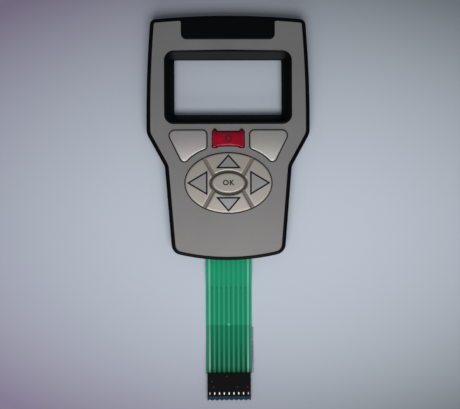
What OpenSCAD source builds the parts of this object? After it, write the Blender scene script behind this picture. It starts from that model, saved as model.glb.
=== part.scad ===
// Front-panel keypad of a handheld meter, lying on its back with the keys up.
// Origin at the middle of the panel's rear edge plane, +Y towards the display, +Z out of the keys.

/* [Panel outline] */
// Height of the panel from its top arc to its bottom arc
panel_h = 127.5; // [115:0.1:140]
// Half width at the top corners
top_half_w = 40.4; // [38:0.1:44]
// Half width at the widest place, above the waist
waist_half_w = 42.6; // [40:0.1:46]
// Half width at the neck, below the waist
neck_half_w = 33.15; // [31.5:0.05:36]
// Half width at the bottom corners
foot_half_w = 29.45; // [27:0.05:32]
// Height of the waist corner above the panel's middle
waist_y = 2.4; // [0:0.1:6]
// Height of the neck corner, below the panel's middle
neck_y = -14.8; // [-18:0.1:-12]
// Radius of the top edge
top_arc_r = 414; // [250:1:800]
// Radius of the bottom edge
bottom_arc_r = 114; // [80:1:300]
// Radius of the top corners
top_corner_r = 3; // [2.5:0.1:6]
// Radius of the waist corners
waist_corner_r = 8; // [3:0.5:12]
// Radius of the neck corners
neck_corner_r = 6; // [3:0.5:12]
// Radius of the bottom corners
foot_corner_r = 5.5; // [3:0.1:7]

/* [Moulded frame] */
// Width of the black rim beside the fascia
rim_w = 2; // [1.6:0.05:3]
// Width of the black rim below the fascia
foot_rim_w = 1.7; // [1.2:0.05:3]
// Radius on the rim's outer top edge
rim_edge_r = 1.1; // [0.4:0.05:1.4]
// How far the rim stands above the fascia
rim_lip = 0.25; // [0:0.05:1]
// Thickness of the frame's skirt
skirt_t = 2; // [1.4:0.1:2.6]
// Thickness of the deck that carries the fascia
deck_t = 1.5; // [1:0.1:2.5]
// Thickness of the stiffening ribs
rib_t = 1.2; // [0.8:0.1:2]
// Depth of the stiffening ribs below the deck
rib_depth = 1.9; // [0.5:0.1:2.2]
// Distance between neighbouring stiffening ribs
rib_pitch = 13; // [8:0.5:20]
// Thickness of the guides round the keys' flanges
guide_t = 1.2; // [0.8:0.1:1.6]
// Gap beside and above the tail where it leaves the skirt
notch_gap = 0.7; // [0.3:0.1:1.2]

/* [Display bezel] */
// Width of the bezel
bezel_w = 66.5; // [60:0.1:72]
// Height of the bezel
bezel_h = 38.6; // [34:0.1:42]
// Height of the bezel's centre above the panel's middle
bezel_y = 26.55; // [24:0.05:29]
// Radius of the bezel's corners
bezel_r = 5; // [3:0.1:7]
// Rise of the bezel's arched top edge
bezel_arch = 0.5; // [0.1:0.1:1]
// How far the bezel's lip stands above the fascia
bezel_lip = 0.45; // [0.2:0.05:1]
// Width of the rounded lip
bezel_lip_w = 1; // [0.8:0.1:1.6]
// Width of the display window
window_w = 56.3; // [50:0.1:58]
// Height of the display window
window_h = 28.8; // [24:0.1:30]
// How far the window's centre lies above the bezel's
window_rise = 0.15; // [0:0.05:0.5]
// Radius of the window's corners
window_r = 0.6; // [0.3:0.1:2]
// Depth of the window's edge below the fascia
window_depth = 3.7; // [2:0.1:4.5]
// Height of the upright wall round the window
window_wall_h = 2; // [1:0.1:3]
// Thickness of the bezel's walls
bezel_t = 1.3; // [1:0.1:2]

/* [Top pad] */
// Width of the raised pad in the fascia's notch
pad_w = 48.8; // [40:0.1:60]
// Height of the pad's lower edge above the panel's middle
pad_y = 51.35; // [50:0.05:55]
// Radius of the pad's lower corners
pad_r = 2.9; // [1:0.1:4]
// How far the pad stands above the fascia
pad_lip = 0.55; // [0.3:0.05:1]
// Width of the rim that stays above the pad
pad_margin = 1.2; // [0.8:0.1:2]
// Radius of the pad's upper corners
pad_top_r = 0.6; // [0.5:0.1:1.5]
// Radius on the pad's edges
pad_edge_r = 0.5; // [0.2:0.05:0.5]

/* [Fascia] */
// Thickness of the fascia
fascia_t = 0.8; // [0.5:0.1:1.5]
// Thickness of the adhesive under the fascia
tape_t = 0.15; // [0.05:0.05:0.4]
// Gap between the fascia and the frame round it
fascia_gap = 0.1; // [0.05:0.05:0.3]
// How far the adhesive stays back from the fascia's edges
tape_back = 0.4; // [0.2:0.1:1]

/* [Keys] */
// Travel of every key
travel = 1; // [0.5:0.1:1.5]
// Gap between a key and the fascia
key_gap = 0.4; // [0.2:0.05:0.7]
// Extra gap between a key and the deck
deck_gap = 0.15; // [0:0.05:0.4]
// Width of the flange that keeps a key under the deck
flange_w = 1; // [0.8:0.1:1.3]
// Thickness of that flange
flange_t = 0.8; // [0.5:0.1:1.2]
// Gap between the flanges and the deck above them
flange_gap = 0.2; // [0.1:0.05:0.4]
// Gap between the flanges and the guides round them
flange_side_gap = 0.5; // [0.3:0.1:0.8]
// Distance of the soft keys' inner edge from the panel's axis
soft_in_x = 11.25; // [10:0.05:12]
// Distance of the soft keys' outer corner from the panel's widest place
soft_side = 10.3; // [9.5:0.05:12]
// Height of the soft keys' top edge
soft_top_y = 3.95; // [3:0.1:5]
// Lean of the soft keys' outer edge from upright, in degrees
soft_lean = 25.2; // [18:0.1:30]
// Distance of the soft keys from the oval pad
soft_spacing = 4.25; // [3.7:0.05:5.5]
// Height of the soft keys' edge above the fascia
soft_edge_h = 0.55; // [0.3:0.05:1]
// Crown of the soft keys
soft_crown = 0.9; // [0.3:0.1:1.5]
// Radius on the edges of the soft keys
soft_edge_r = 0.5; // [0.2:0.05:0.8]
// Radii of a soft key's corners: upper inner, lower inner, tip and upper outer
soft_radii = [2.2, 1.9, 2.2, 2.7]; // [1:0.1:3]
// Distance from a soft key's middle at which its crown has fallen to its edge
soft_crown_reach = 12; // [10:0.5:16]
// Width of the power key
power_w = 16.6; // [14:0.1:18]
// Height of the power key's top edge
power_top_y = 3.45; // [2.5:0.05:4]
// Height of the power key's bottom corner
power_bottom_y = -4.65; // [-5:0.05:-4]
// Width of the power key's side rails
rail_w = 2.05; // [1.5:0.05:3]
// How far the rails' pointed ends pass the key's top edge
rail_tip = 1.7; // [0.8:0.1:2]
// Fall of the rails' pointed ends, for each millimetre past the key's top edge
rail_fall = 0.5; // [0:0.1:1]
// How far the rails pass the key's bottom edge
rail_tail = 0.45; // [0.2:0.05:0.6]
// Height of the rails above the fascia
rail_h = 1.35; // [1:0.05:2]
// Height of the power key's face above the fascia
power_face_h = 0.8; // [0.4:0.05:1.2]
// Rise of the power key's arched bottom edge
power_arch = 0.4; // [0:0.1:1]
// Rise of the power key's face towards the rails
power_dish = 0.35; // [0.1:0.05:0.5]
// Radius on the edges of the power key's slab
power_edge_r = 0.45; // [0.2:0.05:0.6]
// Radius on the edges of the rails
rail_edge_r = 0.5; // [0.3:0.05:0.6]

/* [Oval pad] */
// Width of the oval pad
oval_w = 45; // [40:0.1:48]
// Height of the oval pad
oval_h = 31.2; // [30:0.1:34]
// Height of the oval's centre, below the panel's middle
oval_y = -23.5; // [-25:0.1:-22]
// Width of the centre key
centre_w = 17.1; // [15:0.1:20]
// Height of the centre key
centre_h = 10.3; // [9:0.1:12]
// Width of the ring groove round the centre key
ring_w = 1.2; // [0.6:0.05:1.5]
// Width of the straight grooves
groove_w = 1.7; // [1:0.05:2.5]
// Slope of the straight grooves, in degrees
groove_angle = 61; // [55:1:75]
// Where the grooves' lines cross the oval's long axis
groove_x = 5.45; // [4:0.05:7]
// Height of the keytops above the grooves' floor
keytop_h = 0.95; // [0.6:0.05:1.5]
// Extra height of the centre key
centre_rise = 0.15; // [0:0.05:0.4]
// Dome of the whole oval
oval_dome = 0.45; // [0.1:0.05:1]
// Radius on the edges of the keytops
keytop_edge_r = 0.45; // [0.2:0.05:0.6]
// Radius of the keytops' corners
keytop_r = 0.7; // [0.5:0.05:1]
// Thickness of the silicone platform under the keytops
platform_t = 1; // [0.6:0.1:1.5]
// Height of the platform above the fascia
platform_lip = 0.05; // [0:0.05:0.3]

/* [Silicone mat] */
// Thickness of the mat
mat_t = 1.2; // [0.8:0.1:1.8]
// Thickness of the webs round the plungers
web_t = 0.45; // [0.3:0.05:0.6]
// Radius of the plungers under the soft keys
soft_plunger_r = 3.2; // [2.5:0.1:3.5]
// Radius of the other plungers
plunger_r = 2.3; // [2:0.1:2.6]
// Width of the webs round the plungers
web_w = 1.6; // [1.3:0.1:1.9]
// Width of the ring that joins each web to the mat
web_foot_w = 0.6; // [0.4:0.1:1]
// Height of a web's inner end above the carbon pill
web_rise = 0.25; // [0.1:0.05:0.4]
// Length of the plungers under the soft keys and the power key
plunger_h = 1.15; // [1.1:0.05:2]
// How far the mat stays back from the backing plate's edge
mat_back = 1; // [0.5:0.1:2]

/* [Contacts and circuit] */
// Thickness of the carbon pills
pill_t = 0.4; // [0.2:0.05:0.6]
// How far the pills stay narrower than their plungers
pill_back = 0.3; // [0.1:0.05:0.6]
// Gap left between a pill and its pads at full travel
pill_spare = 0.05; // [0.02:0.01:0.2]
// Thickness of the polyester circuit film
film_t = 0.15; // [0.1:0.05:0.3]
// Thickness of the printed conductors
ink_t = 0.05; // [0.03:0.01:0.1]
// Radius of the contact pads
contact_r = 2.4; // [2:0.1:2.8]
// Gap between the halves of a contact pad
contact_split = 0.5; // [0.3:0.1:0.8]
// Width of the conductors beneath the mat
lead_w = 0.6; // [0.4:0.1:1]
// Gap between a screw boss and the sheets that it passes
boss_gap = 0.4; // [0.2:0.1:0.6]

/* [Backing plate] */
// Thickness of the backing plate
plate_t = 1; // [0.8:0.1:1.5]
// Distance of the plate's rear face from the frame's rear edge
plate_recess = 1.5; // [1.3:0.1:2]
// Height of the plate's top edge
plate_top_y = 8.4; // [7:0.1:9]
// Distance of the plate's bottom edge from the panel's bottom
plate_foot = 14.6; // [13.6:0.1:16]
// Gap between the plate and the skirt
plate_gap = 0.3; // [0.2:0.1:1]
// Thickness of the adhesive under the circuit
glue_t = 0.1; // [0.05:0.05:0.2]
// Height of the upper plate screws above the panel's middle
boss_top_y = 3; // [2:0.1:4]
// Distance of the upper plate screws from the panel's side
boss_top_side = 6.1; // [5.8:0.05:7]
// Distance of the middle plate screws from the panel's side
boss_mid_side = 4.45; // [4.2:0.05:5]
// Distance of the lower plate screws from the panel's side
boss_foot_side = 9.7; // [8:0.1:11]
// Distance of the lower plate screws from the plate's bottom edge
boss_foot_back = 5.5; // [4:0.1:7]
// Outer radius of the bosses for the plate's screws
boss_r = 2.2; // [1.9:0.1:2.4]
// Radius of the plate screws' shanks
screw_r = 0.85; // [0.6:0.05:1]
// Radial clearance of the screws in their pilots
screw_gap = 0.03; // [0.02:0.01:0.05]
// Extra depth of the screws' pilot holes
pilot_spare = 0.3; // [0.1:0.1:0.5]
// Length of the plate screws below their heads
screw_len = 5; // [4:0.1:5.4]
// Radius of the screw heads
screw_head_r = 1.8; // [1.4:0.1:2.2]
// Height of the screw heads
screw_head_h = 1.1; // [0.8:0.1:1.2]
// Width of the cross in the screw heads
cross_w = 0.4; // [0.3:0.05:0.6]
// Depth of that cross
cross_depth = 0.5; // [0.3:0.1:0.7]
// Clearance of the screws in the plate
plate_hole_gap = 0.2; // [0.1:0.05:0.4]

/* [Case pillars] */
// Distance of the upper case pillars from the panel's side at its top corners
case_top_side = 5.6; // [5.4:0.1:7]
// Distance of the lower case pillars from the panel's side at its bottom corners
case_foot_side = 6.85; // [6.5:0.05:9]
// Distance of the case pillars from the panel's ends
case_end = 8.25; // [7.8:0.05:8.6]
// Outer radius of the case pillars
pillar_r = 2.4; // [2:0.1:2.6]
// Radius of the threaded holes in the pillars
pillar_bore_r = 1.1; // [0.8:0.05:1.4]
// Metal left above the threaded holes
pillar_cover = 0.8; // [0.5:0.1:1.2]
// Radius of the spigots that hold the pillars in the deck
spigot_r = 1.4; // [1:0.1:1.6]
// Length of those spigots
spigot_h = 0.8; // [0.5:0.1:1]
// Radial gap round a spigot
spigot_gap = 0.03; // [0.02:0.01:0.05]
// Gap between a pillar and the ribs beside it
pillar_gap = 0.3; // [0.2:0.1:0.5]

/* [Tail and connector] */
// Pitch of the conductors
pitch = 2.54; // [2.5:0.01:2.6]
// Width of the conductors in the tail
track_w = 1.5; // [1:0.1:1.7]
// Width of the tail
tail_w = 24.2; // [23.5:0.1:26]
// Length of the tail from the panel to the connector
tail_len = 60; // [45:0.5:90]
// How far the tail enters the housing at its full width
tail_entry = 0.3; // [0.1:0.1:0.6]
// Height of the tail's low stretch above the table
tail_low_z = 0.35; // [0.2:0.05:1]
// Length of the bend at each end of the tail
tail_bend = 17; // [10:1:20]
// Length of the level stretch before the connector
tail_level = 1.2; // [0.5:0.1:3]
// Length of the clear stiffener before the connector
stiffener_len = 24; // [10:1:30]
// Thickness of the stiffener
stiffener_t = 0.12; // [0.05:0.01:0.15]
// How far the stiffener sits off the tail's axis
stiffener_shift = 0.9; // [0:0.1:1.5]
// Length of the connector housing
housing_len = 14.25; // [13:0.05:18]
// Height of the connector housing
housing_h = 2.8; // [2.7:0.1:4]
// Plastic at each side of the end contacts
housing_side = 1.27; // [1.2:0.01:2]
// Depth of the step at the housing's front
step_depth = 0.25; // [0.1:0.05:0.4]
// Length of the stepped front
step_len = 5.4; // [4.5:0.1:6.5]
// Width of the contact windows
port_w = 1.3; // [0.8:0.05:1.5]
// Length of the contact windows
port_len = 2; // [1.2:0.1:2.4]
// Distance of the windows' centres from the mouth
port_back = 3.5; // [2.8:0.1:4]
// Outer width of the contacts' sockets
socket_w = 1.6; // [1.3:0.05:1.7]
// Thickness of the contacts' metal
socket_t = 0.25; // [0.15:0.05:0.3]
// Length of the sockets
socket_len = 7.2; // [6:0.1:8]
// Play of a contact in its cavity
socket_gap = 0.1; // [0.05:0.01:0.15]
// Distance of the sockets from the mouth
socket_back = 0.5; // [0.3:0.1:1]
// Length of the tail inside the housing
tongue_len = 5; // [4:0.1:5.4]
// Play of the tail in the housing's slot
tongue_gap = 0.1; // [0.05:0.05:0.2]
// Depth of the notch in the mouth before each contact
mouth_notch = 0.8; // [0.4:0.1:1]

/* [Hidden] */

// Heights, from the rear edge up
plate_z1 = plate_recess + plate_t;
film_z0 = plate_z1 + glue_t;
film_z1 = film_z0 + film_t;
ink_z1 = film_z1 + ink_t;
mat_z1 = ink_z1 + mat_t;
pill_z0 = ink_z1 + travel + pill_spare;
pill_z1 = pill_z0 + pill_t;
flange_z0 = pill_z1 + plunger_h;
flange_z1 = flange_z0 + flange_t;
deck_z0 = flange_z1 + flange_gap;
deck_z1 = deck_z0 + deck_t;
fascia_z0 = deck_z1 + tape_t;
fascia_z1 = fascia_z0 + fascia_t;
rim_z1 = fascia_z1 + rim_lip;
bezel_z1 = fascia_z1 + bezel_lip;
pad_z1 = fascia_z1 + pad_lip;
platform_z1 = fascia_z1 + platform_lip;
platform_z0 = platform_z1 - platform_t;
over = 1;
corner_steps = 6;

// Planes and places
foot_y = -panel_h / 2;
head_y = panel_h / 2;
oval_centre = [0, oval_y];
oval_a = oval_w / 2;
oval_b = oval_h / 2;
ring_a = centre_w / 2 + ring_w;
ring_b = centre_h / 2 + ring_w;
rail_in_x = power_w / 2 - rail_w;
soft_out_x = waist_half_w - soft_side;
plate_bottom_y = foot_y + plate_foot;

// One conductor for each of the eight keys and one for the plate
tracks = 9;

// Tail: runs out flat, dips to the table and rises into the connector
exit_y = foot_y;
mouth_y = exit_y - tail_len - housing_len;
housing_y1 = exit_y - tail_len;
housing_w = (tracks - 1) * pitch + 2 * housing_side;
tongue_y0 = housing_y1 - tongue_len;
entry_z = housing_h / 2 - film_t;
tail_steps = 10;
track_x = [for (i = [0:tracks - 1]) (i - (tracks - 1) / 2) * pitch];
tongue_w = (tracks - 1) * pitch + track_w + 2 * tongue_gap;
level_y = housing_y1 + tail_level;

// Vectors
function unit(v) = v / norm(v);
function turn(v, a) = [v.x * cos(a) - v.y * sin(a), v.x * sin(a) + v.y * cos(a)];
function xy(p) = [p.x, p.y];
function lift(points, z) = [for (p = points) [p.x, p.y, z]];
function moved(points, d) = [for (p = points) xy(p) + d];
function mirrored(points) = [for (i = [len(points) - 1:-1:0]) [-points[i].x, points[i].y]];

// A corner at p between a and b, rounded by r
function corner(a, p, b, r) =
    r <= 0 ? [p] :
    let (u = unit(a - p), v = unit(b - p), half = acos(u * v) / 2,
         c = p + unit(u + v) * (r / sin(half)),
         s = p + u * (r / tan(half)) - c,
         bend = (180 - 2 * half) * sign(cross(p - a, b - p)))
    [for (i = [0:corner_steps]) c + turn(s, bend * i / corner_steps)];

// A closed outline of [x, y, radius] corners
function rounded(list) =
    let (n = len(list))
    [for (i = [0:n - 1])
        each corner(xy(list[(i + n - 1) % n]), xy(list[i]), xy(list[(i + 1) % n]), list[i][2])];

// The right half of an outline, bottom to top, with its mirror image
function both_sides(right) =
    concat(right, [for (i = [len(right) - 1:-1:0])
        if (right[i].x > 0.001) [-right[i].x, right[i].y, right[i][2]]]);

// Inward normal at each point of an outline that runs anticlockwise
function edge_normal(a, b) = let (d = unit(b - a)) [-d.y, d.x];
function normals(points) =
    let (n = len(points))
    [for (i = [0:n - 1])
        let (before = edge_normal(points[(i + n - 1) % n], points[i]),
             after = edge_normal(points[i], points[(i + 1) % n]))
        (before + after) / (1 + before * after)];
function inset(points, d) =
    let (turned = normals(points))
    [for (i = [0:len(points) - 1]) points[i] + turned[i] * d];

// Points inside a stretch of an oval, its ends left out
function oval_arc(a, b, from, to, n) =
    [for (i = [1:n - 1]) let (t = from + (to - from) * i / n) [a * cos(t), b * sin(t), 0]];
function oval(a, b, n) = [for (i = [0:n - 1]) [a * cos(360 * i / n), b * sin(360 * i / n)]];
function oval_angle(p, a, b) = atan2(p.y / b, p.x / a);

// Where a line from p along d leaves an oval
function line_to_oval(p, d, a, b) =
    let (qa = pow(d.x / a, 2) + pow(d.y / b, 2),
         qb = 2 * (p.x * d.x / (a * a) + p.y * d.y / (b * b)),
         qc = pow(p.x / a, 2) + pow(p.y / b, 2) - 1)
    p + d * ((-qb + sqrt(qb * qb - 4 * qa * qc)) / (2 * qa));

// Panel outline
function head_arc(x) = head_y - top_arc_r + sqrt(top_arc_r * top_arc_r - x * x);
function foot_arc(x) = foot_y + bottom_arc_r - sqrt(bottom_arc_r * bottom_arc_r - x * x);
side_bow = waist_half_w - top_half_w;
side_y0 = waist_y + waist_corner_r;
side_y1 = head_arc(top_half_w);
panel_points = rounded(both_sides(concat(
    [for (i = [0:8]) let (x = (foot_half_w - foot_corner_r) * i / 8) [x, foot_arc(x), 0]],
    [[foot_half_w, foot_arc(foot_half_w), foot_corner_r],
     [neck_half_w, neck_y, neck_corner_r],
     [waist_half_w, waist_y, waist_corner_r]],
    [for (i = [0:9]) let (t = i / 10)
        [waist_half_w - side_bow * t * t, side_y0 + (side_y1 - side_y0) * t, 0]],
    [[top_half_w, side_y1, top_corner_r]],
    [for (i = [8:-1:0]) let (x = (top_half_w - 2 * top_corner_r) * i / 8) [x, head_arc(x), 0]])));

// The rim is narrower where it faces down the panel
panel_normals = normals(panel_points);
rim_points = [for (i = [0:len(panel_points) - 1])
    let (n = panel_normals[i], down = pow(max(0, n.y), 2))
    panel_points[i] + n * (rim_w + (foot_rim_w - rim_w) * down)];
skirt_points = inset(panel_points, skirt_t);

// Bezel and window, from matching corners so that one can be lofted to the other
function bezel_outline(w, h, r, arch, rise = 0) =
    let (x = w / 2, y = h / 2)
    moved(rounded([[x, -y, r], [x, y - arch, r], [0, y, 0], [-x, y - arch, r], [-x, -y, r]]),
          [0, bezel_y + rise]);
bezel_points = bezel_outline(bezel_w, bezel_h, bezel_r, bezel_arch);
bezel_mouth = bezel_outline(bezel_w - 2 * bezel_lip_w, bezel_h - 2 * bezel_lip_w,
                            bezel_r - bezel_lip_w, bezel_arch);
window_points = bezel_outline(window_w, window_h, window_r, 0.01, window_rise);
window_shell = bezel_outline(window_w + 2 * bezel_t, window_h + 2 * bezel_t, window_r + bezel_t,
                             0.01, window_rise);
window_z = fascia_z1 - window_depth;
window_z0 = window_z - window_wall_h;

pad_top = head_arc(pad_w / 2) - pad_margin;
pad_points = rounded(concat(
    [[-pad_w / 2, pad_y, pad_r], [pad_w / 2, pad_y, pad_r], [pad_w / 2, pad_top, pad_top_r]],
    [for (i = [3:-1:-3]) let (x = pad_w / 2 * i / 4) [x, head_arc(x) - pad_margin, 0]],
    [[-pad_w / 2, pad_top, pad_top_r]]));

// Soft key on the right: three straight edges and one that follows the oval
soft_oval = [oval_a + soft_spacing, oval_b + soft_spacing];
soft_inner = [soft_in_x, oval_y + soft_oval.y * sqrt(1 - pow(soft_in_x / soft_oval.x, 2))];
soft_tip = oval_centre + line_to_oval([soft_out_x, soft_top_y] - oval_centre,
                                      [sin(soft_lean), cos(soft_lean)], soft_oval.x, soft_oval.y);
// The arc's points stay clear of the stretches that round its ends
soft_points = rounded(concat(
    [[soft_in_x, soft_top_y, soft_radii[0]], [soft_inner.x, soft_inner.y, soft_radii[1]]],
    [for (p = oval_arc(soft_oval.x, soft_oval.y,
                       oval_angle(soft_inner - oval_centre, soft_oval.x, soft_oval.y),
                       oval_angle(soft_tip - oval_centre, soft_oval.x, soft_oval.y), 9))
        let (q = xy(p) + oval_centre)
        if (norm(q - soft_inner) > 1.2 * soft_radii[1] && norm(q - soft_tip) > 2 * soft_radii[2])
            [q.x, q.y, 0]],
    [[soft_tip.x, soft_tip.y, soft_radii[2]], [soft_out_x, soft_top_y, soft_radii[3]]]));

// Power key: a slab between two rails
slab_x = rail_in_x + rail_w / 2;
slab_points = rounded(concat(
    [[slab_x, power_bottom_y, power_edge_r], [slab_x, power_top_y, power_edge_r],
     [-slab_x, power_top_y, power_edge_r], [-slab_x, power_bottom_y, power_edge_r]],
    [for (i = [-2:2]) [slab_x * i / 3, power_bottom_y + power_arch * (1 - pow(i / 3, 2)), 0]]));
rail_corners = [[rail_in_x, power_bottom_y - rail_tail], [power_w / 2, power_bottom_y - rail_tail],
    [power_w / 2, power_top_y], [rail_in_x + rail_w * 0.45, power_top_y + rail_tip],
    [rail_in_x, power_top_y + rail_tip * 0.2]];
rail_points = rounded([for (p = rail_corners) [p.x, p.y, rail_edge_r]]);

// Keytops on the oval: where their edges meet the outer and the inner oval
groove_dir = [cos(groove_angle), sin(groove_angle)];
groove_side = [-groove_dir.y, groove_dir.x] * groove_w / 2;
up_line = [groove_x, 0] + groove_side;
side_line = [groove_x, 0] - groove_side;
up_outer = line_to_oval(up_line, groove_dir, oval_a, oval_b);
up_inner = line_to_oval(up_line, groove_dir, ring_a, ring_b);
side_outer = line_to_oval(side_line, groove_dir, oval_a, oval_b);
side_inner = line_to_oval(side_line, groove_dir, ring_a, ring_b);
function corner_of(p) = [p.x, p.y, keytop_r];
up_a = oval_angle(up_outer, oval_a, oval_b);
up_b = oval_angle(up_inner, ring_a, ring_b);
side_a = oval_angle(side_outer, oval_a, oval_b);
side_b = oval_angle(side_inner, ring_a, ring_b);
up_points = rounded(concat(
    [corner_of(up_inner), corner_of(up_outer)], oval_arc(oval_a, oval_b, up_a, 180 - up_a, 10),
    [corner_of([-up_outer.x, up_outer.y]), corner_of([-up_inner.x, up_inner.y])],
    oval_arc(ring_a, ring_b, 180 - up_b, up_b, 8)));
side_points = rounded(concat(
    [corner_of([side_inner.x, -side_inner.y]), corner_of([side_outer.x, -side_outer.y])],
    oval_arc(oval_a, oval_b, -side_a, side_a, 10),
    [corner_of(side_outer), corner_of(side_inner)],
    oval_arc(ring_a, ring_b, side_b, -side_b, 8)));
centre_points = oval(centre_w / 2, centre_h / 2, 48);

// Plungers in the order of the pills: centre, radius and top
soft_middle = (soft_inner + soft_tip + [soft_out_x, soft_top_y] + [soft_in_x, soft_top_y]) / 4;
power_middle = [0, (power_top_y + power_bottom_y) / 2];
keys_on_oval = [[0, (oval_b + ring_b) / 2], [0, -(oval_b + ring_b) / 2],
                [-(oval_a + ring_a) / 2, 0], [(oval_a + ring_a) / 2, 0], [0, 0]];
plungers = concat(
    [for (side = [-1, 1]) [side * soft_middle.x, soft_middle.y, soft_plunger_r, flange_z0]],
    [[power_middle.x, power_middle.y, plunger_r, flange_z0]],
    [for (spot = keys_on_oval) [spot.x, spot.y + oval_y, plunger_r, platform_z0]]);

// Screws of the plate and pillars of the case, from the panel's side
function foot_side(y) = let (low = foot_arc(foot_half_w))
    foot_half_w + (neck_half_w - foot_half_w) * (y - low) / (neck_y - low);
boss_foot_y = plate_bottom_y + boss_foot_back;
plate_bosses = [for (side = [-1, 1], p = [[waist_half_w - boss_top_side, boss_top_y],
                                          [foot_side(oval_y) - boss_mid_side, oval_y],
                                          [foot_side(boss_foot_y) - boss_foot_side, boss_foot_y]])
                [side * p.x, p.y]];
case_pillar_spots = [for (side = [-1, 1], p = [[top_half_w - case_top_side, head_y - case_end],
                                               [foot_half_w - case_foot_side, foot_y + case_end]])
                     [side * p.x, p.y]];
boss_hole_r = boss_r + boss_gap;

// Solids
module plate(z0, z1) {
    translate([0, 0, z0]) linear_extrude(z1 - z0) children();
}

// Rings of equal count, joined by triangles and closed by flat ends
module loft(rings) {
    n = len(rings[0]);
    last = len(rings) - 1;
    polyhedron(
        points = [for (ring = rings) each ring],
        faces = concat(
            [[for (i = [0:n - 1]) i]],
            [for (k = [0:last - 1], i = [0:n - 1]) [k * n + i, (k + 1) * n + i, (k + 1) * n + (i + 1) % n]],
            [for (k = [0:last - 1], i = [0:n - 1])
                [k * n + i, (k + 1) * n + (i + 1) % n, k * n + (i + 1) % n]],
            [[for (i = [n - 1:-1:0]) last * n + i]]));
}

// The same, closed above by a fan to one point
module loft_to_point(rings, top) {
    n = len(rings[0]);
    last = len(rings) - 1;
    polyhedron(
        points = concat([for (ring = rings) each ring], [top]),
        faces = concat(
            [[for (i = [0:n - 1]) i]],
            [for (k = [0:last - 1], i = [0:n - 1]) [k * n + i, (k + 1) * n + i, (k + 1) * n + (i + 1) % n]],
            [for (k = [0:last - 1], i = [0:n - 1])
                [k * n + i, (k + 1) * n + (i + 1) % n, k * n + (i + 1) % n]],
            [for (i = [0:n - 1]) [last * n + i, (last + 1) * n, last * n + (i + 1) % n]]));
}

// A block whose top edge is rounded by r
module round_topped(points, z0, z1, r) {
    loft(concat([lift(points, z0)],
        [for (k = [0:3]) lift(inset(points, r * (1 - cos(30 * k))), z1 - r + r * sin(30 * k))]));
}

// A keycap: upright wall, rounded edge and a face whose height is a function of the place
module keycap(points, z0, height, r, centre) {
    edge = [for (k = [0:3]) [for (p = inset(points, r * (1 - cos(30 * k))))
        [p.x, p.y, height(p) - r * (1 - sin(30 * k))]]];
    face = inset(points, r);
    crown = [for (share = [0.8, 0.6, 0.4, 0.2]) [for (p = face) let (q = centre + (p - centre) * share)
        [q.x, q.y, height(q)]]];
    loft_to_point(concat([lift(points, z0)], edge, crown), [centre.x, centre.y, height(centre)]);
}

// Outlines
module soft_outlines() {
    polygon(soft_points);
    polygon(mirrored(soft_points));
}
module power_outline() {
    polygon(slab_points);
    polygon(rail_points);
    polygon(mirrored(rail_points));
}
module oval_outline() {
    translate(oval_centre) polygon(oval(oval_a, oval_b, 72));
}
module key_outlines(grow) {
    offset(delta = grow) soft_outlines();
    offset(delta = grow) power_outline();
    offset(delta = grow) oval_outline();
}
module plate_area(back) {
    intersection() {
        polygon(inset(panel_points, skirt_t + plate_gap + back));
        translate([-panel_h, plate_bottom_y + back])
            square([2 * panel_h, plate_top_y - plate_bottom_y - 2 * back]);
    }
}
module boss_holes(r) {
    for (p = plate_bosses) translate(p) circle(r, $fn = 32);
}

// The frame's rim, deck and skirt
module frame_shell() {
    difference() {
        round_topped(panel_points, 0, rim_z1, rim_edge_r);
        plate(deck_z1, rim_z1 + over) polygon(rim_points);
        plate(-over, deck_z0) polygon(skirt_points);
        plate(deck_z0 - over, deck_z1 + over) {
            key_outlines(key_gap + deck_gap);
            polygon(inset(bezel_points, 2 * bezel_lip_w));
        }
    }
}

// Bezel: upright round the window, then flared to its rounded lip, inside and out
module bezel_ring() {
    lip = bezel_lip_w * 0.5;
    difference() {
        loft(concat([lift(window_shell, window_z0), lift(window_shell, window_z - bezel_t),
                     lift(bezel_points, deck_z1 - deck_t / 3)],
            [for (k = [0:3]) lift(inset(bezel_points, lip * (1 - cos(30 * k))),
                                  bezel_z1 - lip + lip * sin(30 * k))]));
        loft([lift(window_points, window_z0 - over), lift(window_points, window_z),
              lift(bezel_mouth, bezel_z1 - 0.15), lift(inset(bezel_mouth, -0.3), bezel_z1 + over)]);
    }
}

// Guides round the keys, down to the mat
module key_guides() {
    plate(mat_z1, deck_z0) difference() {
        offset(delta = guide_t) key_outlines(flange_w + flange_side_gap);
        key_outlines(flange_w + flange_side_gap);
    }
}

module stiffening_ribs() {
    plate(deck_z0 - rib_depth, deck_z0) difference() {
        intersection() {
            polygon(inset(panel_points, skirt_t / 2));
            union() {
                for (x = [-3 * rib_pitch:rib_pitch:3 * rib_pitch])
                    translate([x - rib_t / 2, foot_y]) square([rib_t, panel_h]);
                for (y = [-4 * rib_pitch:rib_pitch:4 * rib_pitch])
                    translate([-waist_half_w, y - rib_t / 2]) square([2 * waist_half_w, rib_t]);
            }
        }
        polygon(bezel_points);
        plate_area(-plate_gap - over);
        for (p = case_pillar_spots) translate(p) circle(pillar_r + pillar_gap, $fn = 32);
    }
}

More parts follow.
